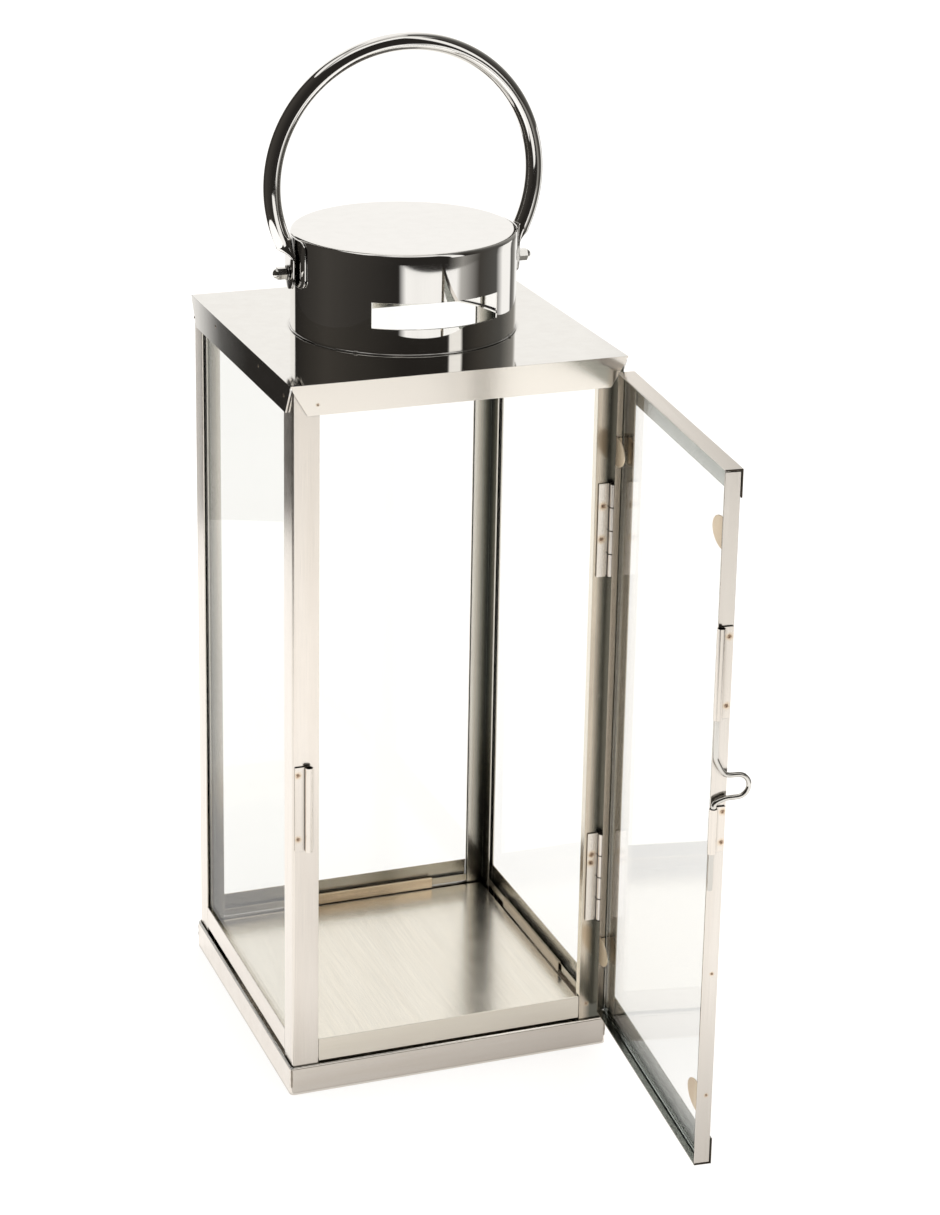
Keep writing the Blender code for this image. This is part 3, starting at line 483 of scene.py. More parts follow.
GLASS_TINT = (0.93, 0.935, 0.925)
GLASS_EDGE = (0.40, 0.50, 0.44)
DOOR_GLASS_EDGE = (0.60, 0.68, 0.63)
side_glass = glass("side_glass", "glass_left", GLASS_TINT, GLASS_EDGE, "X", 1.12)
back_glass = glass("back_glass", "glass_back", GLASS_TINT, GLASS_EDGE, "Y")
door_glass = glass("door_glass", "door_glass", GLASS_TINT, DOOR_GLASS_EDGE, "X", 1.3)

MATERIAL_OF = {
    "base_tray": tray_steel,
    "floor_plate": floor_steel,
    "front_threshold": band_steel,
    "post_": post_steel,
    "post_front_right": shaded_post_steel,
    "bottom_rail_": rail_steel,
    "glass_strip_": side_strips_in_shade,
    "glass_strip_back": strip_steel,
    "glass_back": back_glass,
    "glass_left": side_glass,
    "glass_right": side_glass,
    "roof_plate": roof_steel,
    "handle_bracket_": bracket_steel,
    "pivot_": fastener_steel,
    "acorn_nut_": fastener_steel,
    "hinge_": hinge_steel,
    "latch_catch": catch_steel,
    "latch_barrel_": catch_steel,
    "door_stile_": door_steel,
    "door_rail_": door_rail_steel,
    "door_glass_tab_": tab_steel,
    "door_glass": door_glass,
}


# Sheet parts that keep their CAD nodes ------------------------------------------------------------

# How far the edges of each part are softened. Parts not named here get the width of thin sheet.
SHEET_EDGE = 0.00018
EDGE_OF = {
    "base_tray": 0.0009,
    "roof_plate": 0.0006,
    "glass_": 0.0003,
    "door_glass": 0.0003,
    "hinge_": 0.00010,
}


def pick(table, name, otherwise=None):
    """The entry whose key is the longest start of the name."""
    keys = [key for key in table if name.startswith(key)]
    return table[max(keys, key=len)] if keys else otherwise


def soften(obj, width, smooth):
    """Merges the CAD's triangles into whole faces and rounds the edges between them."""
    weld = obj.modifiers.new("weld", "WELD")
    weld.merge_threshold = 0.00001
    planar = obj.modifiers.new("whole_faces", "DECIMATE")
    planar.decimate_type = "DISSOLVE"
    planar.angle_limit = math.radians(1.0)
    bevel = obj.modifiers.new("soft_edges", "BEVEL")
    bevel.width = width
    bevel.segments = 2
    bevel.limit_method = "ANGLE"
    bevel.angle_limit = math.radians(32)
    bevel.use_clamp_overlap = True
    if smooth:
        obj.data.shade_smooth()
        flat = obj.modifiers.new("flat_faces", "WEIGHTED_NORMAL")
        flat.mode = "FACE_AREA"
        flat.weight = 80


def dress(obj, material):
    obj.data.materials.clear()
    obj.data.materials.append(material)


PANES = ("glass_back", "glass_left", "glass_right", "door_glass")
for node_name, node in NODES.items():
    dress(node, pick(MATERIAL_OF, node_name, post_steel))
    soften(node, pick(EDGE_OF, node_name, SHEET_EDGE), node_name not in PANES)
    if node_name in PANES:
        node.visible_shadow = False


# Round polished parts, built finer than the CAD ---------------------------------------------------


def mesh_object(name, bm, material):
    bmesh.ops.recalc_face_normals(bm, faces=bm.faces)
    mesh = bpy.data.meshes.new(name)
    bm.to_mesh(mesh)
    bm.free()
    mesh.shade_smooth()
    mesh.materials.append(material)
    made = bpy.data.objects.new(name, mesh)
    bpy.context.scene.collection.objects.link(made)
    return made


def stands_for(piece, body, slot, *nodes):
    """The piece takes the place of CAD nodes, on their body."""
    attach(piece, body)
    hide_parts(*nodes)


DRUM_RADIUS = (DRUM_HIGH.x - DRUM_LOW.x) / 2
DRUM_SHEET = 0.0008
SLOT_LOW = ROOF_HIGH.z + 0.0130
SLOT_HIGH = ROOF_HIGH.z + 0.0257
SLOT_HALF_WIDTH = 0.032
SLOT_HALF_ANGLE = math.asin(SLOT_HALF_WIDTH / DRUM_RADIUS)
TOP_ROUND = 0.0024


def drum_skin():
    """(radius, height) of the drum's outside from its foot to the middle of its top."""
    skin = [(DRUM_RADIUS, DRUM_LOW.z), (DRUM_RADIUS, DRUM_LOW.z + 0.003), (DRUM_RADIUS, SLOT_LOW)]
    skin += [(DRUM_RADIUS, SLOT_HIGH), (DRUM_RADIUS, DRUM_HIGH.z - 0.005)]
    for step in range(7):
        angle = math.pi / 2 * step / 6
        across = DRUM_RADIUS - TOP_ROUND * (1 - math.cos(angle))
        skin.append((across, DRUM_HIGH.z - TOP_ROUND * (1 - math.sin(angle))))
    # The top is very slightly dished, as spun sheet is.
    for share in (0.93, 0.85, 0.7, 0.5, 0.3, 0.12):
        skin.append((DRUM_RADIUS * share, DRUM_HIGH.z - 0.00012 * (1 - share)))
    return skin


def drum_angles(steps):
    """Angles round the drum, with one exactly at each end of each slot."""
    angles = []
    ends = [SLOT_HALF_ANGLE, math.pi - SLOT_HALF_ANGLE, math.pi + SLOT_HALF_ANGLE]
    ends += [2 * math.pi - SLOT_HALF_ANGLE, 2 * math.pi + SLOT_HALF_ANGLE]
    for start, end in zip(ends, ends[1:]):
        count = round(steps * (end - start) / (2 * math.pi))
        angles += [start + (end - start) * i / count for i in range(count)]
    return angles


def in_slot(angle):
    """True at the front, where the angle is 0, and at the back."""
    return abs(math.remainder(angle, math.pi)) < SLOT_HALF_ANGLE


def build_drum():
    bm = bmesh.new()
    skin = drum_skin()
    angles = drum_angles(240)
    rings = []
    for radius, height in skin:
        rings.append([bm.verts.new((radius * math.sin(a), -radius * math.cos(a), height)) for a in angles])
    for level, (lower, upper) in enumerate(zip(rings, rings[1:])):
        slotted = skin[level][1] == SLOT_LOW
        for i in range(len(angles)):
            j = (i + 1) % len(angles)
            between = (angles[i] + (angles[j] if j else angles[0] + 2 * math.pi)) / 2
            if slotted and in_slot(between):
                continue
            bm.faces.new((lower[i], lower[j], upper[j], upper[i]))
    centre = bm.verts.new((0, 0, skin[-1][1]))
    for i in range(len(angles)):
        bm.faces.new((rings[-1][i], rings[-1][(i + 1) % len(angles)], centre))
    drum = mesh_object("drum_shell", bm, drum_steel)
    wall = drum.modifiers.new("wall", "SOLIDIFY")
    wall.thickness = DRUM_SHEET
    wall.offset = -1.0
    edges = drum.modifiers.new("soft_edges", "BEVEL")
    edges.width = 0.00015
    edges.segments = 2
    edges.limit_method = "ANGLE"
    edges.angle_limit = math.radians(50)
    edges.harden_normals = True
    stands_for(drum, "lantern_body", "drum_steel", "chimney_drum")


# The handle: a round tube bent to a circle, with its ends flattened into tongues on the pivots. Heights
# are from the pivots.
RING_RADIUS = 0.0677
RING_LIFT = 0.0430
RING_TUBE = 0.0043
RING_END = math.radians(-24.5)
RING_LEAN = math.radians(1.0)
TONGUE_X = DRUM_RADIUS + 0.0027
TONGUE_HALF = 0.0065
TONGUE_THIN = 0.0008
TONGUE_BELOW = 0.0080
TONGUE_ROUND = 0.0052
TONGUE_TOP = 0.0077
RING_SIDES = 40


def ring_stations():
    """Sections of half the handle: x, height, angle, half width, half thickness, and roundness to 1."""
    stations = []
    for i in range(1, 13):
        angle = math.pi / 2 * i / 12
        height = -TONGUE_BELOW + TONGUE_ROUND * (1 - math.cos(angle))
        stations.append((TONGUE_X, height, 0.0, TONGUE_HALF * math.sin(angle), TONGUE_THIN, 0.0))
    stations.append((TONGUE_X, TONGUE_TOP, 0.0, TONGUE_HALF, TONGUE_THIN, 0.0))
    end_x = RING_RADIUS * math.cos(RING_END)
    arc_low = RING_LIFT + RING_RADIUS * math.sin(RING_END)
    for i in range(1, 14):
        share = i / 14
        blend = share * share * (3 - 2 * share)
        x = TONGUE_X + (end_x - TONGUE_X) * blend
        height = TONGUE_TOP + (arc_low - TONGUE_TOP) * share
        wide = TONGUE_HALF + (RING_TUBE - TONGUE_HALF) * blend
        thick = TONGUE_THIN + (RING_TUBE - TONGUE_THIN) * blend
        stations.append((x, height, RING_END * blend, wide, thick, blend))
    for i in range(81):
        angle = RING_END + (math.pi / 2 - RING_END) * i / 80
        x = RING_RADIUS * math.cos(angle)
        height = RING_LIFT + RING_RADIUS * math.sin(angle)
        stations.append((x, height, angle, RING_TUBE, RING_TUBE, 1.0))
    return stations


def build_ring():
    bm = bmesh.new()
    half = ring_stations()
    path = [(-1, station) for station in half] + [(1, station) for station in reversed(half[:-1])]
    rings = []
    for sign, (x, height, angle, wide, thick, roundness) in path:
        outward = Vector((sign * math.cos(angle), 0, math.sin(angle)))
        # A low power makes the section a flat bar with soft corners, and 1 makes it round.
        power = 0.45 + 0.55 * roundness
        ring = []
        for k in range(RING_SIDES):
            turn = 2 * math.pi * (k + 0.5) / RING_SIDES
            across = math.copysign(abs(math.cos(turn)) ** power, math.cos(turn)) * wide
            out = math.copysign(abs(math.sin(turn)) ** power, math.sin(turn)) * thick
            ring.append(bm.verts.new(Vector((sign * x, across, height)) + outward * out))
        rings.append(ring)
    for first, second in zip(rings, rings[1:]):
        for k in range(RING_SIDES):
            j = (k + 1) % RING_SIDES
            bm.faces.new((first[k], first[j], second[j], second[k]))
    bm.faces.new(rings[0])
    bm.faces.new(rings[-1])
    lean = Matrix.Translation(PIVOT) @ Matrix.Rotation(RING_LEAN, 4, "X")
    bmesh.ops.transform(bm, matrix=lean, verts=bm.verts)
    ring = mesh_object("ring_tube", bm, ring_chrome)
    stands_for(ring, "handle", "ring_chrome", "handle_ring")


WIRE_RADIUS = 0.0012
# From the hinge line and the door's inside to the middle of the wire
WIRE_LINE = 0.1547
WIRE_OUT = 0.0002
# The wire's finger loop: its heights, how far it reaches, and how far out its bends begin
LOOP_LOW = 0.2080
LOOP_HIGH = 0.2190
LOOP_REACH = 0.0165
LOOP_NECK = 0.0062


def rounded_line(points, times):
    """Cuts the corners of a line again and again, which leaves it smooth. Its ends stay."""
    for _ in range(times):
        made = [points[0]]
        for first, second in zip(points, points[1:]):
            made.append(first.lerp(second, 0.25))
            made.append(first.lerp(second, 0.75))
        made.append(points[-1])
        points = made
    return points


def wire_path():
    """The bolt's wire: down from its top, out round the finger loop, and down to its tip."""
    low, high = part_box("latch_wire")
    route = [(0, high.z), (0, 0.2560), (0, 0.2285)]
    route += [(0.0005, 0.2265), (0.0038, 0.2202), (LOOP_NECK, LOOP_HIGH)]
    radius = (LOOP_HIGH - LOOP_LOW) / 2
    centre = (LOOP_REACH - radius, (LOOP_HIGH + LOOP_LOW) / 2)
    for i in range(9):
        angle = math.pi / 2 - math.pi * i / 8
        route.append((centre[0] + radius * math.cos(angle), centre[1] + radius * math.sin(angle)))
    route += [(LOOP_NECK, LOOP_LOW), (0.0038, LOOP_LOW - 0.0005), (0.0005, 0.2060)]
    route += [(0, 0.2040), (0, 0.19), (0, low.z)]
    return rounded_line([Vector((out, height, 0)) for out, height in route], 3)


def build_wire():
    curve = bpy.data.curves.new("bolt_wire", "CURVE")
    curve.dimensions = "3D"
    curve.bevel_depth = WIRE_RADIUS
    curve.bevel_resolution = 6
    curve.use_fill_caps = True
    path = wire_path()
    line = curve.splines.new("POLY")
    line.points.add(len(path) - 1)
    for point, place in zip(line.points, path):
        point.co = (*on_door(WIRE_LINE, WIRE_OUT + place.x, place.y), 1)
    curve.materials.append(wire_chrome)
    wire = bpy.data.objects.new("bolt_wire", curve)
    bpy.context.scene.collection.objects.link(wire)
    stands_for(wire, "latch_bolt", "wire_chrome", "latch_wire")


build_drum()
build_ring()
build_wire()


# Marks of making ----------------------------------------------------------------------------------


def swept_ring(bm, path, radius, sides):
    """A closed tube of one radius along a closed level path."""
    loops = []
    for i, point in enumerate(path):
        ahead = (path[(i + 1) % len(path)] - path[i - 1]).normalized()
        side = ahead.cross(Vector((0, 0, 1)))
        loop = []
        for k in range(sides):
            turn = 2 * math.pi * k / sides
            spoke = side * math.cos(turn) + Vector((0, 0, math.sin(turn)))
            loop.append(bm.verts.new(point + radius * spoke))
        loops.append(loop)
    for i, loop in enumerate(loops):
        other = loops[(i + 1) % len(loops)]
        for k in range(sides):
            j = (k + 1) % sides
            bm.faces.new((loop[k], loop[j], other[j], other[k]))


def level_circle(centre, radius, steps):
    """Points round a level circle."""
    turns = [2 * math.pi * i / steps for i in range(steps)]
    return [centre + radius * Vector((math.cos(turn), math.sin(turn), 0)) for turn in turns]


def rounded_square(half, corner, height, steps=8):
    """Points round a level square with round corners."""
    points = []
    for quarter in range(4):
        middle_turn = math.pi / 2 * quarter
        centre = Matrix.Rotation(middle_turn, 3, "Z") @ Vector((half - corner, half - corner, 0))
        for i in range(steps + 1):
            turn = middle_turn + math.pi / 2 * i / steps
            points.append(centre + Vector((corner * math.cos(turn), corner * math.sin(turn), height)))
    return points


HEM_RADIUS = 0.00060
HEM_INSET = 0.00072
HEM_CORNER = 0.0018
HEM_LIFT = 0.0004


def tray_hem():
    """The folded top of the tray's wall: a roll of doubled sheet all the way round."""
    bm = bmesh.new()
    path = rounded_square(TRAY_HIGH.x - HEM_INSET, HEM_CORNER, TRAY_HIGH.z + HEM_LIFT)
    swept_ring(bm, path, HEM_RADIUS, 12)
    hem = mesh_object("tray_hem_roll", bm, roof_steel)
    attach(hem, "lantern_body")


def bead(bm, place, length, radius, lumps, seed):
    """A small hand-made weld bead along the Z of its place: an uneven, tapered row of lumps."""
    rows, sides = 14, 10
    loops = []
    for i in range(rows + 1):
        share = i / rows
        taper = math.sqrt(max(0.0, 1 - (2 * share - 1) ** 4))
        wobble = 1 + 0.18 * math.sin(lumps * math.pi * share + seed)
        loop = []
        for k in range(sides):
            turn = 2 * math.pi * k / sides
            size = radius * taper * wobble * (1 + 0.08 * math.sin(3 * turn + seed + 5 * share)) + 0.00002
            corner = Vector((size * math.cos(turn), size * math.sin(turn), length * share))
            loop.append(bm.verts.new(place @ corner))
        loops.append(loop)
    for first, second in zip(loops, loops[1:]):
        for k in range(sides):
            j = (k + 1) % sides
            bm.faces.new((first[k], first[j], second[j], second[k]))
    bm.faces.new(loops[0])
    bm.faces.new(loops[-1])


SEAM_FOOT = 0.0036
SEAM_RADIUS = 0.00055


def tray_corner_beads():
    """The welded seam up each corner of the tray."""
    reach = TRAY_HIGH.x - 0.0008
    for number, (x, y) in enumerate(((-1, -1), (1, -1), (1, 1), (-1, 1))):
        bm = bmesh.new()
        foot = Matrix.Translation((x * reach, y * reach, SEAM_FOOT))
        bead(bm, foot, TRAY_HIGH.z - SEAM_FOOT, SEAM_RADIUS, 5, number)
        seam = mesh_object("tray_corner_seam_" + str(number + 1), bm, seam_steel)
        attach(seam, "lantern_body")


FOOT_ROUND = 0.00035
TACK_RADIUS = 0.0007
TACK_LENGTH = 0.0022
# Degrees round the drum from its front, positive to its right
TACK_ANGLES = (-43.0, 48.7, 137.0, -131.0)


def drum_foot():
    """The turned-out foot of the drum, and the four tacks that hold it to the roof."""
    bm = bmesh.new()
    foot = DRUM_RADIUS + 0.0002
    path = level_circle(Vector((0, 0, ROOF_HIGH.z + 0.0004)), foot, 120)
    swept_ring(bm, path, FOOT_ROUND, 8)
    rim = mesh_object("drum_foot_seam", bm, drum_steel)
    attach(rim, "lantern_body")
    for number, degrees in enumerate(TACK_ANGLES):
        turn = math.radians(degrees)
        bm = bmesh.new()
        place = Matrix.Rotation(turn, 4, "Z") @ Matrix.Translation((0, -foot, ROOF_HIGH.z + 0.0005))
        place = place @ Matrix.Rotation(math.pi / 2, 4, "Y")
        place = place @ Matrix.Translation((0, 0, -TACK_LENGTH / 2))
        bead(bm, place, TACK_LENGTH, TACK_RADIUS, 3, number + 0.5)
        tack = mesh_object("drum_tack_" + str(number + 1), bm, fastener_steel)
        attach(tack, "lantern_body")


# (share of the radius, height) from near the middle of a weld's print outwards
DIMPLE_PROFILE = [(0.35, 0.00001), (0.6, 0.00006), (0.78, 0.00011), (0.92, 0.00007), (1.0, -0.00008)]


def weld_dimple(bm, place, radius):
    """The print of a spot weld: a shallow round crater with a raised lip. Z points out of the sheet."""
    sides = 20
    loops = []
    for share, height in DIMPLE_PROFILE:
        loop = []
        for k in range(sides):
            turn = 2 * math.pi * k / sides
            reach = radius * share
            corner = Vector((reach * math.cos(turn), reach * math.sin(turn), height))
            loop.append(bm.verts.new(place @ corner))
        loops.append(loop)
    middle = bm.verts.new(place @ Vector((0, 0, DIMPLE_PROFILE[0][1])))
    for k in range(sides):
        bm.faces.new((middle, loops[0][k], loops[0][(k + 1) % sides]))
    for first, second in zip(loops, loops[1:]):
        for k in range(sides):
            j = (k + 1) % sides
            bm.faces.new((first[k], second[k], second[j], first[j]))


def facing(point, outwards):
    """A place at a point with its Z along a direction."""
    return Matrix.Translation(point) @ Vector(outwards).to_track_quat("Z", "Y").to_matrix().to_4x4()


def weld_dimples(name, body, material, marks, radius):
    bm = bmesh.new()
    for point, outwards in marks:
        weld_dimple(bm, facing(point, outwards), radius)
    made = mesh_object(name, bm, material)
    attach(made, body)


FRONTWARD = Vector((0, -1, 0))
LEFTWARD = Vector((-1, 0, 0))
EDGEWARD = (DOOR.to_3x3() @ LEFTWARD).normalized()


def on_face(points, y):
    return [(Vector((point[0], y, point[2])), FRONTWARD) for point in points]


def build_dimples():
    """The prints of all the spot welds."""
    hinge_marks = on_face(HINGE_SPOTS, LEAF_FACE)
    weld_dimples("hinge_weld_dimples", "lantern_body", hinge_steel, hinge_marks, 0.0010)
    catch_marks = on_face(CATCH_SPOTS, LEAF_FACE)
    weld_dimples("catch_weld_dimples", "lantern_body", catch_steel, catch_marks, 0.0009)
    post_marks = on_face(POST_SPOTS, FRONT_FACE)
    weld_dimples("post_weld_dimples", "lantern_body", post_steel, post_marks, 0.0008)
    roof_marks = on_face(ROOF_SPOTS[:1], ROOF_LOW.y)
    roof_marks += [(Vector(point), LEFTWARD) for point in ROOF_SPOTS[1:]]
    weld_dimples("roof_weld_dimples", "lantern_body", roof_steel, roof_marks, 0.0007)
    barrel_marks = [(point, EDGEWARD) for point in BARREL_SPOTS]
    weld_dimples("barrel_weld_dimples", "door", catch_steel, barrel_marks, 0.0009)
    hinge_line = Vector((HINGE.x, HINGE.y, 0))
    stile_marks = [(DOOR @ (Vector(point) - hinge_line), EDGEWARD) for point in STILE_SPOTS]
    weld_dimples("stile_weld_dimples", "door", door_steel, stile_marks, 0.0006)


# The lip's section: outwards from the post's edge at the doorway, and back from its front face
LIP_OUTLINE = [
    (-0.0001, 0.0001),
    (0.0009, 0.0001),
    (0.0009, 0.0007),
    (0.0003, 0.0010),
    (0.0003, 0.0041),
    (-0.0001, 0.0041),
]


def post_lips():
    """The folded lip that closes each front post towards the doorway."""
    low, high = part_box("post_front_left")
    edge = BODY_HALF - (high.x - low.x)
    outline = [(edge + x, low.y + y) for x, y in LIP_OUTLINE]
    foot_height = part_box("front_threshold")[1].z + 0.0004
    head_height = ROOF_LOW.z - 0.0002
    for side, sign in (("left", -1), ("right", 1)):
        bm = bmesh.new()
        foot = [bm.verts.new((sign * x, y, foot_height)) for x, y in outline]
        head = [bm.verts.new((sign * x, y, head_height)) for x, y in outline]
        bm.faces.new(foot)
        bm.faces.new(head)
        for i in range(len(outline)):
            j = (i + 1) % len(outline)
            bm.faces.new((foot[i], foot[j], head[j], head[i]))
        lip = mesh_object("post_lip_" + side, bm, band_steel)
        for polygon in lip.data.polygons:
            polygon.use_smooth = False
        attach(lip, "lantern_body")


# The length and radius of one knuckle, and how thick the dark joint between two of them is
KNUCKLE = 0.012
KNUCKLE_RADIUS = 0.00156
KNUCKLE_JOINT = 0.00036


def knuckle_joints():
    """The dark joints between the rolled knuckles of each hinge, and round their ends."""
    bm = bmesh.new()
    for where in ("upper", "lower"):
        low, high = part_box("hinge_pin_" + where)
        for index in range(-2, 3):
            height = (high.z + low.z) / 2 + index * KNUCKLE
            joint = level_circle(Vector((HINGE.x, HINGE.y, height)), KNUCKLE_RADIUS, 20)
            swept_ring(bm, joint, KNUCKLE_JOINT, 8)
    rings = mesh_object("hinge_knuckle_joints", bm, joint_dark)
    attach(rings, "lantern_body")


tray_hem()
tray_corner_beads()
drum_foot()
post_lips()
knuckle_joints()
build_dimples()


# Studio: floor, surround, light and camera --------------------------------------------------------


def emission(name, color_of):
    """A material that only gives light. color_of makes its colour socket from the tree."""
    material = bpy.data.materials.new(name)
    material.use_nodes = True
    tree = material.node_tree
    tree.nodes.clear()
    glow = add_node(tree, "ShaderNodeEmission", {"Color": color_of(tree), "Strength": 1.0})
    output = tree.nodes.new("ShaderNodeOutputMaterial")
    tree.links.new(glow.outputs[0], output.inputs["Surface"])
    return material


FLOOR_HALF = 12.0
floor_mesh = bpy.data.meshes.new("studio_floor")
corners = [(-FLOOR_HALF, -FLOOR_HALF, 0), (FLOOR_HALF, -FLOOR_HALF, 0), (FLOOR_HALF, FLOOR_HALF, 0)]
floor_mesh.from_pydata([*corners, (-FLOOR_HALF, FLOOR_HALF, 0)], [], [(0, 1, 2, 3)])
floor = bpy.data.objects.new("studio_floor", floor_mesh)
bpy.context.scene.collection.objects.link(floor)
floor_material, _, floor_shader, _ = new_material("studio_floor")
floor_shader.inputs["Base Color"].default_value = (0.34, 0.335, 0.33, 1)
floor_shader.inputs["Emission Color"].default_value = (1.0, 0.985, 0.965, 1)
floor_shader.inputs["Emission Strength"].default_value = 0.75
floor_shader.inputs["Roughness"].default_value = 0.9
floor_shader.inputs["Specular IOR Level"].default_value = 0.2
floor_mesh.materials.append(floor_material)

# The room round the table, as the steel sees it: dark, with a bright window in front and white behind.
# Only reflections show it.
ROOM_DARK = (0.022, 0.020, 0.018)
ROOM_SHADE = (0.055, 0.050, 0.044)
ROOM_DIM = (0.09, 0.088, 0.082)
ROOM_GREY = (0.30, 0.29, 0.27)
ROOM_PALE = (0.50, 0.485, 0.46)
ROOM_WHITE = (1.0, 0.985, 0.96)
WALL_RADIUS = 0.80
WINDOW_HEIGHT = 0.214
LINTEL_HEIGHT = 0.45
WALL_HEIGHT = 1.50
CEILING_RADIUS = 0.42
CEILING_HEIGHT = 1.75
LID_HEIGHT = 1.80
# Degrees round the lantern from its front, positive to its right
WALL_COLORS = [
    (-180, ROOM_WHITE),
    (-160.2, ROOM_WHITE),
    (-158.8, ROOM_DARK),
    (-100, ROOM_SHADE),
    (-24, ROOM_DARK),
    (-17, ROOM_WHITE),
    (20, ROOM_WHITE),
    (20.6, ROOM_DIM),
    (21.8, ROOM_DIM),
    (22.4, ROOM_WHITE),
    (34, ROOM_WHITE),
    (39, ROOM_PALE),
    (62, ROOM_SHADE),
    (86, ROOM_DIM),
    (97, ROOM_WHITE),
    (114, ROOM_WHITE),
    (117, ROOM_DIM),
    (128, ROOM_GREY),
    (136, ROOM_WHITE),
]
LINTEL_COLORS = [
    (-180, ROOM_WHITE),
    (-160.2, ROOM_WHITE),
    (-158.8, ROOM_DARK),
    (-100, ROOM_SHADE),
    (-20, ROOM_DARK),
    (24, ROOM_DARK),
    (40, ROOM_GREY),
    (62, ROOM_SHADE),
    (86, ROOM_DIM),
    (97, ROOM_WHITE),
    (114, ROOM_WHITE),
    (117, ROOM_DIM),
    (128, ROOM_GREY),
    (136, ROOM_WHITE),
]
UPPER_WALL_COLORS = [
    (-180, ROOM_WHITE),
    (-160.2, ROOM_WHITE),
    (-158.8, ROOM_DARK),
    (-100, ROOM_SHADE),
    (-20, ROOM_DARK),
    (26.5, ROOM_DARK),
    (28, ROOM_WHITE),
    (40, ROOM_WHITE),
    (41.5, ROOM_DARK),
    (62, ROOM_SHADE),
    (95, ROOM_DIM),
    (130, ROOM_GREY),
    (150, ROOM_WHITE),
]
CEILING_COLORS = [
    (-180, ROOM_WHITE),
    (-165, ROOM_GREY),
    (-140, ROOM_DIM),
    (-115, ROOM_WHITE),
    (-75, ROOM_WHITE),
    (-60, ROOM_DIM),
    (-35, ROOM_WHITE),
    (40, ROOM_WHITE),
    (65, ROOM_DIM),
    (110, ROOM_DIM),
    (150, ROOM_WHITE),
]
LID_COLORS = [(-180, ROOM_WHITE), (-60, ROOM_PALE), (0, ROOM_GREY), (60, ROOM_PALE), (180, ROOM_WHITE)]


def around(colors):
    """Makes the colour at each angle round the lantern."""

    def color_of(tree):
        coords = tree.nodes.new("ShaderNodeTexCoord").outputs["Object"]
        x, y, z = split_xyz(tree, coords)
        angle = maths(tree, "ARCTAN2", x, maths(tree, "MULTIPLY", y, -1.0))
        share = map_range(tree, angle, -math.pi, math.pi, 0.0, 1.0)
        return ramp(tree, share, [((degrees + 180) / 360, color) for degrees, color in colors])

    return color_of


def only_reflected(card):
    """A studio card that shows in the steel and the glass, and casts and lights nothing."""
    card.visible_camera = False
    card.visible_diffuse = False
    card.visible_transmission = False
    card.visible_shadow = False
    card.visible_volume_scatter = False


CARD_SIDES = 96


def turned_card(name, low, high, colors):
    """A card that goes round the lantern between two (radius, height) points."""
    bm = bmesh.new()
    rings = []
    for radius, height in (low, high):
        circle = level_circle(Vector((0, 0, height)), radius, CARD_SIDES)
        rings.append([bm.verts.new(point) for point in circle])
    for i in range(CARD_SIDES):
        j = (i + 1) % CARD_SIDES
        bm.faces.new((rings[0][i], rings[0][j], rings[1][j], rings[1][i]))
    only_reflected(mesh_object(name, bm, emission(name, around(colors))))


WALL_FOOT = (WALL_RADIUS, 0.001)
WINDOW_TOP = (WALL_RADIUS, WINDOW_HEIGHT)
LINTEL_TOP = (WALL_RADIUS, LINTEL_HEIGHT)
WALL_TOP = (WALL_RADIUS, WALL_HEIGHT)
CEILING_RIM = (CEILING_RADIUS, CEILING_HEIGHT)
turned_card("studio_wall", WALL_FOOT, WINDOW_TOP, WALL_COLORS)
turned_card("studio_lintel", WINDOW_TOP, LINTEL_TOP, LINTEL_COLORS)
turned_card("studio_upper_wall", LINTEL_TOP, WALL_TOP, UPPER_WALL_COLORS)
turned_card("studio_ceiling", WALL_TOP, CEILING_RIM, CEILING_COLORS)
turned_card("studio_lid", CEILING_RIM, (0.001, LID_HEIGHT), LID_COLORS)


SHADE_HEIGHT = 0.0006


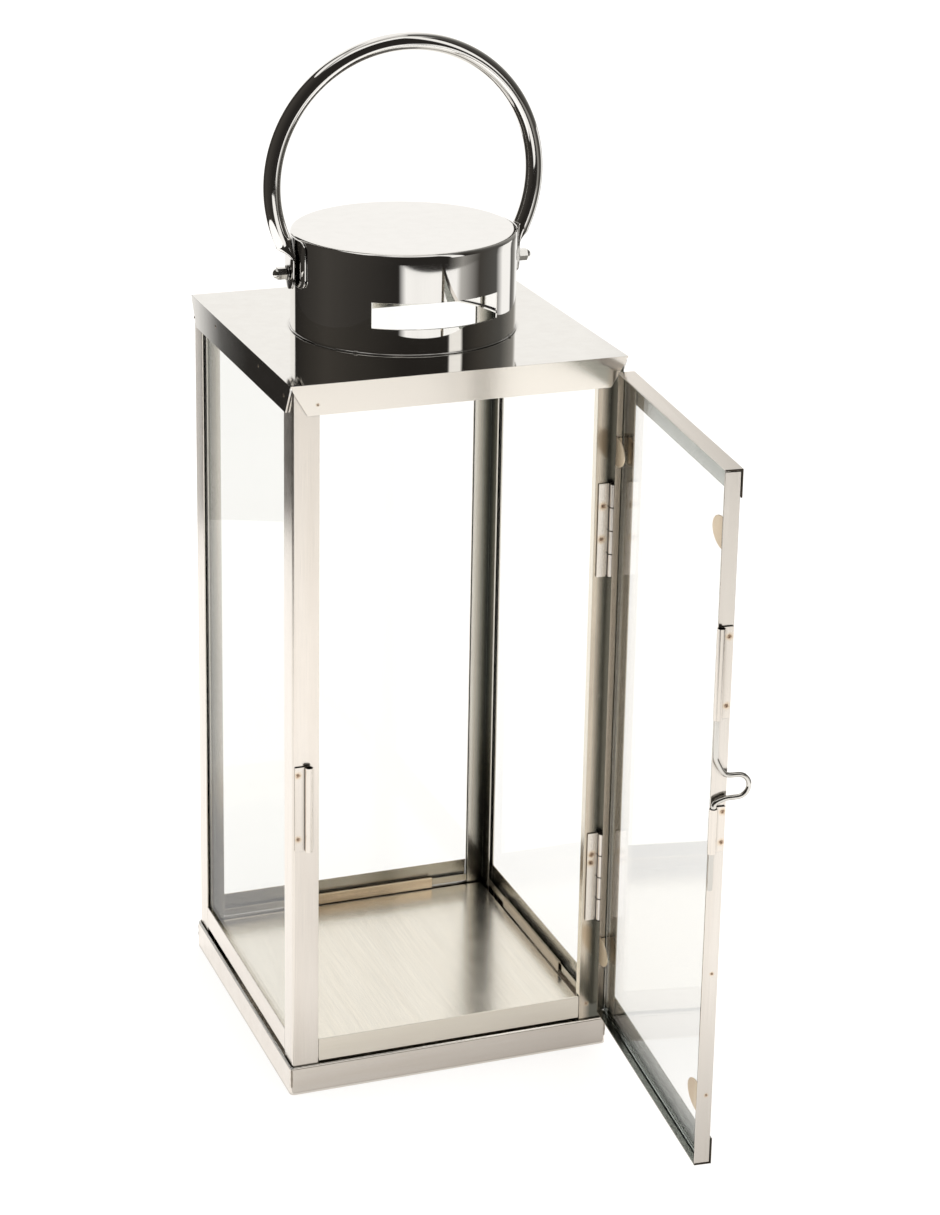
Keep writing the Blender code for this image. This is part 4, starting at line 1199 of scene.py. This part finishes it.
def floor_shade():
    """The lantern's own soft shade on the table in front of it, as its lower edges reflect it."""
    material = bpy.data.materials.new("studio_shade")
    material.use_nodes = True
    tree = material.node_tree
    tree.nodes.clear()
    coords = tree.nodes.new("ShaderNodeTexCoord").outputs["Object"]
    x, y, z = split_xyz(tree, coords)
    near = map_range(tree, y, TRAY_LOW.y - 0.18, TRAY_LOW.y, 0.0, 1.0)
    rightward = map_range(tree, x, TRAY_LOW.x, TRAY_HIGH.x + 0.04, 0.45, 0.65)
    share = maths(tree, "MULTIPLY", maths(tree, "POWER", near, 1.5), rightward)
    inputs = {0: coords, 1: (DOOR_TIP.x + 0.03, DOOR_TIP.y - 0.02, 0.0)}
    from_door = add_node(tree, "ShaderNodeVectorMath", inputs, operation="DISTANCE").outputs["Value"]
    share = maths(tree, "MAXIMUM", share, map_range(tree, from_door, 0.22, 0.02, 0.0, 0.42))
    clear = tree.nodes.new("ShaderNodeBsdfTransparent").outputs[0]
    inputs = {"Color": (0.16, 0.14, 0.12, 1), "Strength": 1.0}
    dark = add_node(tree, "ShaderNodeEmission", inputs).outputs[0]
    mixed = add_node(tree, "ShaderNodeMixShader", {0: share, 1: clear, 2: dark}).outputs[0]
    output = tree.nodes.new("ShaderNodeOutputMaterial")
    tree.links.new(mixed, output.inputs["Surface"])
    bm = bmesh.new()
    left, right = TRAY_LOW.x - 0.04, TRAY_HIGH.x + 0.26
    front, rear = DOOR_TIP.y - 0.24, TRAY_LOW.y - 0.0004
    corners = [(left, front), (right, front), (right, rear), (left, rear)]
    bm.faces.new([bm.verts.new((x, y, SHADE_HEIGHT)) for x, y in corners])
    only_reflected(mesh_object("studio_shade", bm, material))


floor_shade()

world = bpy.data.worlds.new("studio")
bpy.context.scene.world = world
world.use_nodes = True
world.node_tree.nodes["Background"].inputs["Color"].default_value = (1.0, 1.0, 1.0, 1)
world.node_tree.nodes["Background"].inputs["Strength"].default_value = 1.12

lamp = bpy.data.lights.new("overhead_softbox", "AREA")
lamp.shape = "SQUARE"
lamp.size = 2.2
lamp.energy = 14.0
softbox = bpy.data.objects.new("overhead_softbox", lamp)
softbox.location = (0.3, 0.2, 2.4)
bpy.context.scene.collection.objects.link(softbox)

# The camera: turned and raised to the photograph's angle, with its frame shifted onto the lantern
CAMERA_TURN = math.radians(-19.318)
CAMERA_RISE = math.radians(17.715)
CAMERA_ROLL = math.radians(0.533)
CAMERA_TARGET = Vector((-0.03587, -0.080, 0.34437))
CAMERA_DISTANCE = 1.41605
FOCAL_SHARE = 3013.4 / 1215

level = math.cos(CAMERA_RISE)
back = Vector((math.sin(CAMERA_TURN) * level, -math.cos(CAMERA_TURN) * level, math.sin(CAMERA_RISE)))
lens = bpy.data.cameras.new("camera")
lens.sensor_width = 36.0
lens.lens = lens.sensor_width * FOCAL_SHARE
lens.shift_x = 0.0685
lens.shift_y = -0.150
lens.clip_start = 0.05
lens.clip_end = 60.0
camera = bpy.data.objects.new("camera", lens)
bpy.context.scene.collection.objects.link(camera)
aim = back.to_track_quat("Z", "Y").to_matrix().to_4x4()
camera.matrix_world = Matrix.Translation(CAMERA_TARGET + back * CAMERA_DISTANCE) @ aim
camera.matrix_world = camera.matrix_world @ Matrix.Rotation(CAMERA_ROLL, 4, "Z")
bpy.context.scene.camera = camera
bpy.context.scene.view_settings.view_transform = "Standard"
